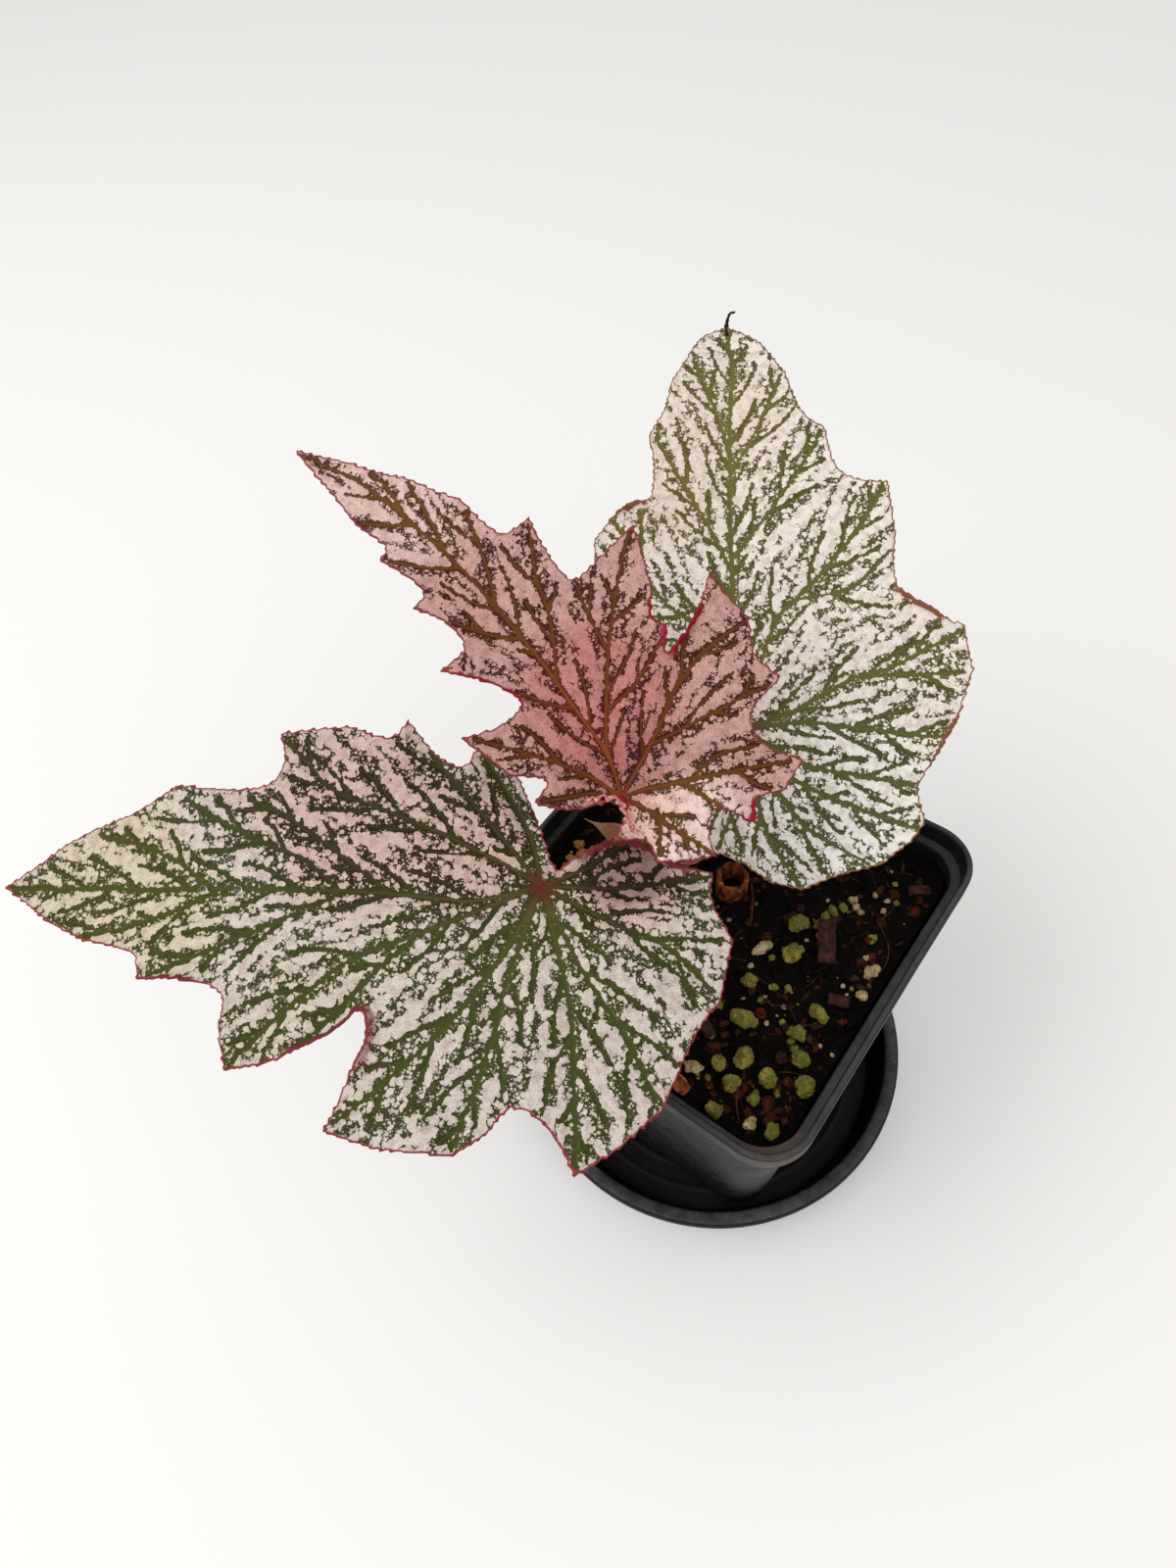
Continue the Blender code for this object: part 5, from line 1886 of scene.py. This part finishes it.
def fibre_model(length, radius, bend):
    """A short bent thread."""

    def build(tree):
        course = {
            "Resolution": 7,
            "Start": (-length / 2 * MM, 0, 0),
            "Middle": (0, bend * MM, 0.7 * bend * MM),
            "End": (length / 2 * MM, 0.3 * bend * MM, 0),
        }
        thread = tree.add("GeometryNodeCurveQuadraticBezier", course)
        ring = tree.add("GeometryNodeCurvePrimitiveCircle", {"Resolution": 4, "Radius": radius * MM})
        curves = {"Curve": thread.outputs[0], "Profile Curve": ring.outputs[0], "Fill Caps": True}
        return tree.add("GeometryNodeCurveToMesh", curves).outputs[0]

    return build


def strewing(smallest, largest, sink, rough, seed):
    """A scatter tree's inputs. How far pieces sink and how rough they are is in millimetres."""
    return {"Smallest": smallest, "Largest": largest, "Sink": sink * MM, "Rough": rough * MM, "Seed": seed}


STREWING = {
    "peat_crumbs": strewing(0.35, 1.5, 0.15, 0.9, 3),
    "bark_crumbs": strewing(0.25, 1.2, -0.35, 0.8, 8),
    "small_grit": strewing(0.3, 1.0, -0.3, 0.7, 5),
    "coir_fibres": strewing(0.4, 1.3, -0.5, 0.8, 4),
}


def strewn(name, ground, model, skin, values):
    """The mesh of everything that a scatter tree lays on the ground mesh."""
    tree = scatter_tree(name, skin, model)
    holder = placed(name, ground.copy())
    modifier = holder.modifiers.new(name, "NODES")
    modifier.node_group = tree
    for item in tree.interface.items_tree:
        if item.in_out == "INPUT" and item.name in values:
            modifier[item.identifier] = values[item.name]
    made = realised(holder)
    made.materials.clear()
    made.shade_smooth()
    return made


def open_ground():
    """A plain sheet over the soil, inside the pot's wall, on which the small things are strewn."""
    low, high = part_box("soil")
    half = (high.x - low.x) / 2 / MM - 1.6
    step = 2.0
    count = int(2 * half / step)
    bm = bmesh.new()
    places = {}
    for i in range(count + 1):
        for j in range(count + 1):
            x = -half + 2 * half * i / count
            y = -half + 2 * half * j / count
            if math.hypot(max(0.0, abs(x) - half + 8), max(0.0, abs(y) - half + 8)) > 8.0:
                continue
            if math.hypot(x - STEM_FOOT.x, y - STEM_FOOT.y) < 4.0 or math.hypot(x - 0.2, y - 8.7) < 5.0:
                continue
            places[i, j] = bm.verts.new(Vector((x, y, rough_soil(x, y))) * MM)
    for (i, j), vert in places.items():
        others = [places.get(key) for key in ((i + 1, j), (i + 1, j + 1), (i, j + 1))]
        if all(others):
            bm.faces.new((vert, *others))
    mesh = bpy.data.meshes.new("open ground")
    bm.to_mesh(mesh)
    bm.free()
    return mesh


# The corner of the soil that has the most rust-coloured crumbs
RUSTY_CORNER = (40 * MM, -40 * MM, 95 * MM)


def peat_material():
    """Moist peat: near-black with brown and rust-coloured crumbs."""
    made, tree, shader = new_material("moist peat")
    dark = tone(4, 2, 1)
    place = tree.place()
    hue = tree.attribute("hue")
    clod = tree.noise(place, 380.0, 4, 0.65)
    grit = tree.noise(place, 2200.0, 3, 0.7)
    colour = tree.tint(dark, tone(20, 10, 6), clod, 0.42, 0.68)
    away = tree.length(tree.vector("SUBTRACT", place, RUSTY_CORNER))
    rusty = tree.math("ADD", hue, tree.step(away, 26 * MM, 8 * MM, 0.0, 0.45))
    rust = tree.times(tree.step(rusty, 0.72, 1.0), tree.step(grit, 0.35, 0.6))
    colour = tree.mix(rust, colour, tone(104, 46, 20))
    colour = tree.tint(colour, dark, grit, 0.5, 0.3, 0.6)
    height = tree.math("MULTIPLY_ADD", clod, 1.5, grit)
    gloss = tree.step(clod, 0.35, 0.65, 0.6, 0.9)
    tree.surface(shader, colour, gloss, height, specular=0.12, strength=0.9, depth=0.5)
    return made


def speck_material():
    """Small grains that run from algae green through straw to cream, each its own colour."""
    made, tree, shader = new_material("small grit")
    place = tree.place()
    hue = tree.attribute("hue")
    grit = tree.noise(place, 2000.0, 3, 0.7)
    colour = tree.tint(tone(112, 118, 30), tone(146, 130, 70), hue, 0.30, 0.62)
    colour = tree.tint(colour, tone(196, 170, 142), hue, 0.68, 0.92)
    colour = tree.tint(colour, tone(60, 40, 18), grit, 0.55, 0.35, 0.7)
    gloss = tree.step(grit, 0.3, 0.7, 0.5, 0.8)
    tree.surface(shader, colour, gloss, grit, specular=0.3, strength=0.6, depth=0.25)
    return made


# Loose roots and straws on the soil: points in plan, height above the soil, and radius
ROOTLETS = [
    ([(39.9, 17.5), (42.0, 13.8), (42.6, 9.8), (41.5, 5.6), (42.0, 1.0)], 0.9, 0.22),
    ([(40.2, 8.4), (41.8, 6.0), (41.9, 3.2)], 0.5, 0.16),
    ([(28.0, -30.0), (29.2, -33.0), (29.8, -36.2), (31.4, -39.2), (34.2, -42.2)], 2.6, 0.24),
    ([(31.5, -37.5), (33.5, -39.0), (36.0, -39.4)], 1.2, 0.16),
    ([(3.6, 12.6), (6.2, 9.2), (7.6, 6.4), (9.6, 2.9)], 1.0, 0.45),
    ([(20.5, -12.0), (24.5, -13.5), (29.5, -12.2), (33.0, -14.5)], 0.6, 0.14),
    ([(34.0, 30.0), (37.0, 26.0), (36.0, 21.0), (39.0, 18.0)], 0.7, 0.15),
    ([(-30.0, -22.0), (-24.0, -24.0), (-18.0, -20.0), (-12.0, -22.0)], 0.8, 0.2),
    ([(-34.0, 28.0), (-28.0, 31.0), (-20.0, 29.0), (-12.0, 33.0), (-6.0, 31.0)], 0.8, 0.2),
]


def rootlet_mesh():
    """All the loose roots and straws as one mesh of fine tubes."""
    bm = bmesh.new()
    for number, (plan, lift, radius) in enumerate(ROOTLETS):
        points = []
        last = len(plan) - 1
        for i, (x, y) in enumerate(plan):
            rise = 0.3 + lift * math.sin(math.pi * i / last)
            points.append(Vector((x, y, rough_soil(x, y) + rise)))
        path = smooth_path(points, 0.5)
        count = len(path)
        radii = [radius * (0.55 + 0.45 * math.sin(math.pi * (i + 0.5) / count)) for i in range(count)]
        tube = tube_mesh("rootlet", path, radii, sides=7, wander=0.3, seed=number)
        bm.from_mesh(tube)
        bpy.data.meshes.remove(tube)
    return finished("rootlets", bm)


# Small lumps that lie in known places on the soil: place, radius, and how flat each is
LUMPS = {
    "cream": [
        (27.4, 23.2, 1.2), (29.0, 21.5, 1.0), (30.7, 20.8, 0.8), (35.3, 24.2, 0.8), (34.6, 27.4, 0.7),
        (31.3, 27.6, 0.8), (23.5, 6.3, 0.6), (22.8, -9.8, 0.6), (18.6, -15.5, 0.5), (27.9, -12.2, 0.6),
        (39.7, -15.8, 0.6), (43.1, -16.1, 0.5), (38.6, -0.6, 0.5), (22.8, -12.3, 0.5), (40.4, 6.6, 1.3),
        (41.0, 8.6, 1.0), (39.6, 8.0, 0.9), (37.9, 10.8, 0.8),
    ],
    "green": [
        (36.4, 16.5, 1.2), (33.8, 33.7, 0.9), (23.5, -9.3, 1.0), (22.4, -13.7, 0.9), (35.4, -19.8, 1.1),
        (24.4, 14.6, 1.5), (24.2, 12.0, 1.6), (24.8, 17.4, 1.3), (25.8, 9.6, 1.3), (26.6, 19.4, 1.2),
        (19.0, -3.0, 0.9), (20.6, 0.6, 0.8), (29.6, -15.6, 0.9), (14.6, -20.8, 1.4), (12.4, -19.0, 1.3),
        (34.0, -28.4, 0.8), (37.4, -31.2, 0.9),
    ],
    "brown": [
        (19.3, -29.7, 1.7), (33.8, -23.6, 1.5), (17.3, 9.6, 1.4), (17.9, 13.1, 1.2), (2.5, 8.3, 1.3),
        (4.8, 8.0, 1.0), (2.0, 5.0, 0.9), (38.8, 36.9, 1.3), (40.6, 36.2, 1.1), (39.0, -38.0, 1.3),
        (42.0, -36.0, 1.0), (36.4, -41.6, 1.2),
    ],
    "tan": [
        (-41.4, -2.0, 1.5), (-38.6, -4.2, 1.8), (-40.6, -7.0, 1.4), (-39.6, -10.2, 1.6),
        (-35.0, -3.4, 1.0), (-33.8, -7.6, 1.3), (-36.4, -9.6, 1.1), (-21.4, 13.6, 1.2),
        (-18.2, 13.0, 1.5), (-14.4, 12.4, 1.4), (-11.2, 12.6, 1.6), (-27.6, 6.0, 1.1),
    ],
}


def lumps_mesh(name, lumps):
    """Rough small lumps sitting on the soil, as one mesh of separate closed balls."""
    bm = bmesh.new()
    for number, (x, y, radius) in enumerate(lumps):
        made = bmesh.ops.create_icosphere(bm, subdivisions=3, radius=1.0)
        for vert in made["verts"]:
            out = vert.co.normalized()
            coarse = noise.noise(out * 1.4 + Vector((number, 0, 3)))
            fine = noise.noise(out * 3.5 + Vector((0, number, 0)))
            size = radius * (0.95 + 0.45 * coarse + 0.2 * fine)
            place = Vector((out.x * size * 1.1, out.y * size * 0.9, out.z * size * 0.8))
            place.rotate(Euler((0, 0, 1.7 * number)))
            vert.co = (Vector((x, y, rough_soil(x, y) + 0.35 * radius)) + place) * MM
    return finished(name, bm)


class BEGONIA_OT_soil(Operator):
    """Build the peat, its crumbs and grit, the coir fibres and the loose rootlets"""

    bl_idname = "begonia.soil"
    bl_label = "Soil"

    def execute(self, context):
        sizes = context.scene.begonia.soil
        peat = peat_material()
        show_mesh("lumpy_peat", soil_mesh(), [peat], "soil", "soil")
        ground = open_ground()
        straw = fibrous("coir", (138, 76, 36), (84, 38, 18), (36, 15, 8))
        bark = fibrous("bark crumbs", (112, 50, 30), (66, 26, 16), (24, 9, 6))
        layers = {
            "peat_crumbs": (lump_model((1.3, 1.0, 0.75)), peat, "soil", sizes.crumbs),
            "bark_crumbs": (lump_model((2.0, 0.9, 0.5)), bark, "bark", sizes.bark),
            "small_grit": (lump_model((1.2, 1.0, 0.85)), speck_material(), "grain", sizes.grit),
            "coir_fibres": (fibre_model(7.0, 0.11, 1.3), straw, "bark", sizes.fibres),
        }
        for name, (model, skin, slot, density) in layers.items():
            mesh = strewn(name, ground, model, skin, {"Density": density, **STREWING[name]})
            show_mesh(name, mesh, [skin], slot)
        show_mesh("loose_rootlets", rootlet_mesh(), [straw], "bark")
        skins = {
            "cream": ((220, 188, 160), (176, 134, 104), (96, 60, 36), (178, 158, 96)),
            "green": ((164, 158, 60), (112, 110, 26), (52, 38, 10), (98, 112, 18)),
            "tan": ((206, 138, 84), (158, 88, 44), (74, 36, 14), (178, 136, 66)),
        }
        for tint, lumps in LUMPS.items():
            skin = grain_material(f"{tint} crumb", *skins[tint]) if tint in skins else bark
            show_mesh(f"{tint}_lumps", lumps_mesh(f"{tint} lumps", lumps), [skin], "grain")
        return {"FINISHED"}


# ------------------------------------------------------------------ stage


FLOOR_REACH = 30.0  # metres from the middle to each side
# Name, place from the part's centre in metres, size in metres and power in watts
LAMPS = (
    ("window", (-0.5, -0.55, 0.95), 1.0, 7.2),
    ("fill", (0.75, -0.2, 0.9), 0.8, 2.4),
)
# The camera's place from the part's centre in millimetres, and its own directions
EYE = (97.8, -117.8, 236.9)
EYE_RIGHT = Vector((0.8008, 0.5934, -0.0810))
EYE_UP = Vector((-0.4456, 0.6807, 0.5815))
EYE_FORWARD = Vector((-0.4002, 0.4296, -0.8095))
LENS = 24.4


class BEGONIA_OT_stage(Operator):
    """Build the floor, the lamps and the camera"""

    bl_idname = "begonia.stage"
    bl_label = "Stage"

    def execute(self, context):
        low, high = CAD_BOX
        centre = (low + high) / 2
        self.floor(low.z)
        self.lamps(centre)
        self.camera(centre)
        context.scene.view_settings.view_transform = "Standard"
        return {"FINISHED"}

    def floor(self, height):
        """A wide flat floor that the camera sees as a little brighter than it is lit."""
        made, tree, shader = new_material("pale paper")
        tree.surface(shader, tone(236, 235, 233), 0.9, specular=0.2)
        seen = tree.add("ShaderNodeLightPath").outputs["Is Camera Ray"]
        tree.feed(shader.inputs["Emission Color"], (1, 1, 1))
        tree.feed(shader.inputs["Emission Strength"], tree.times(seen, 0.14))
        square = ((-1, -1), (1, -1), (1, 1), (-1, 1))
        corners = [(FLOOR_REACH * x, FLOOR_REACH * y, height) for x, y in square]
        mesh = bpy.data.meshes.new("floor")
        mesh.from_pydata(corners, [], [(0, 1, 2, 3)])
        mesh.materials.append(made)
        sheet = placed("floor", mesh)

    def lamps(self, centre):
        world = bpy.data.worlds.new("soft room")
        world.use_nodes = True
        tree = Tree(world.node_tree)
        background = world.node_tree.nodes["Background"]
        tree.feed(background.inputs["Color"], (1.0, 0.99, 0.98))
        # The room lights softly, and the camera sees it as pale as the floor
        seen = tree.add("ShaderNodeLightPath").outputs["Is Camera Ray"]
        tree.feed(background.inputs["Strength"], tree.math("MULTIPLY_ADD", seen, 0.26, 0.60))
        bpy.context.scene.world = world
        for name, place, size, power in LAMPS:
            lamp = bpy.data.lights.new(name, "AREA")
            lamp.size = size
            lamp.energy = power
            holder = placed(name, lamp)
            holder.location = centre + Vector(place)
            holder.rotation_mode = "QUATERNION"
            holder.rotation_quaternion = (-Vector(place)).to_track_quat("-Z", "Y")

    def camera(self, centre):
        data = bpy.data.cameras.new("camera")
        data.lens = LENS
        data.sensor_width = 36.0
        eye = placed("camera", data)
        turn = Matrix((EYE_RIGHT, EYE_UP, -EYE_FORWARD)).transposed().to_4x4()
        eye.matrix_world = Matrix.Translation(centre + Vector(EYE) * MM) @ turn
        bpy.context.scene.camera = eye


# -------------------------------------------------------------- the add-on


class BEGONIA_PT_panel(Panel):
    """Lists the settings and the building steps"""

    bl_idname = "BEGONIA_PT_panel"
    bl_label = "Potted begonia"
    bl_space_type = "VIEW_3D"
    bl_region_type = "UI"
    bl_category = "Begonia"

    def draw(self, context):
        settings = context.scene.begonia
        for label, group in (
            ("Leaves", settings.leaf),
            ("Front leaf", settings.front),
            ("Middle leaf", settings.middle),
            ("Back leaf", settings.back),
            ("Pot and saucer", settings.holder),
            ("Soil", settings.soil),
        ):
            box = self.layout.box()
            box.label(text=label)
            for key in group.__annotations__:
                box.prop(group, key)
        for step in STEPS:
            self.layout.operator(step.bl_idname)


STEPS = (
    BEGONIA_OT_saucer,
    BEGONIA_OT_pot,
    BEGONIA_OT_soil,
    BEGONIA_OT_grit,
    BEGONIA_OT_stalks,
    BEGONIA_OT_leaves,
    BEGONIA_OT_stage,
)
CLASSES = (
    BegoniaLeafSizes,
    BegoniaFrontColours,
    BegoniaMiddleColours,
    BegoniaBackColours,
    BegoniaHolder,
    BegoniaSoil,
    BegoniaSettings,
    *STEPS,
    BEGONIA_PT_panel,
)


def register():
    for each in CLASSES:
        bpy.utils.register_class(each)
    bpy.types.Scene.begonia = PointerProperty(type=BegoniaSettings)


def unregister():
    del bpy.types.Scene.begonia
    for each in reversed(CLASSES):
        bpy.utils.unregister_class(each)


def main():
    register()
    for step in STEPS:
        group, name = step.bl_idname.split(".")
        getattr(getattr(bpy.ops, group), name)()
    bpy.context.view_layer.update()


if __name__ == "__main__":
    main()
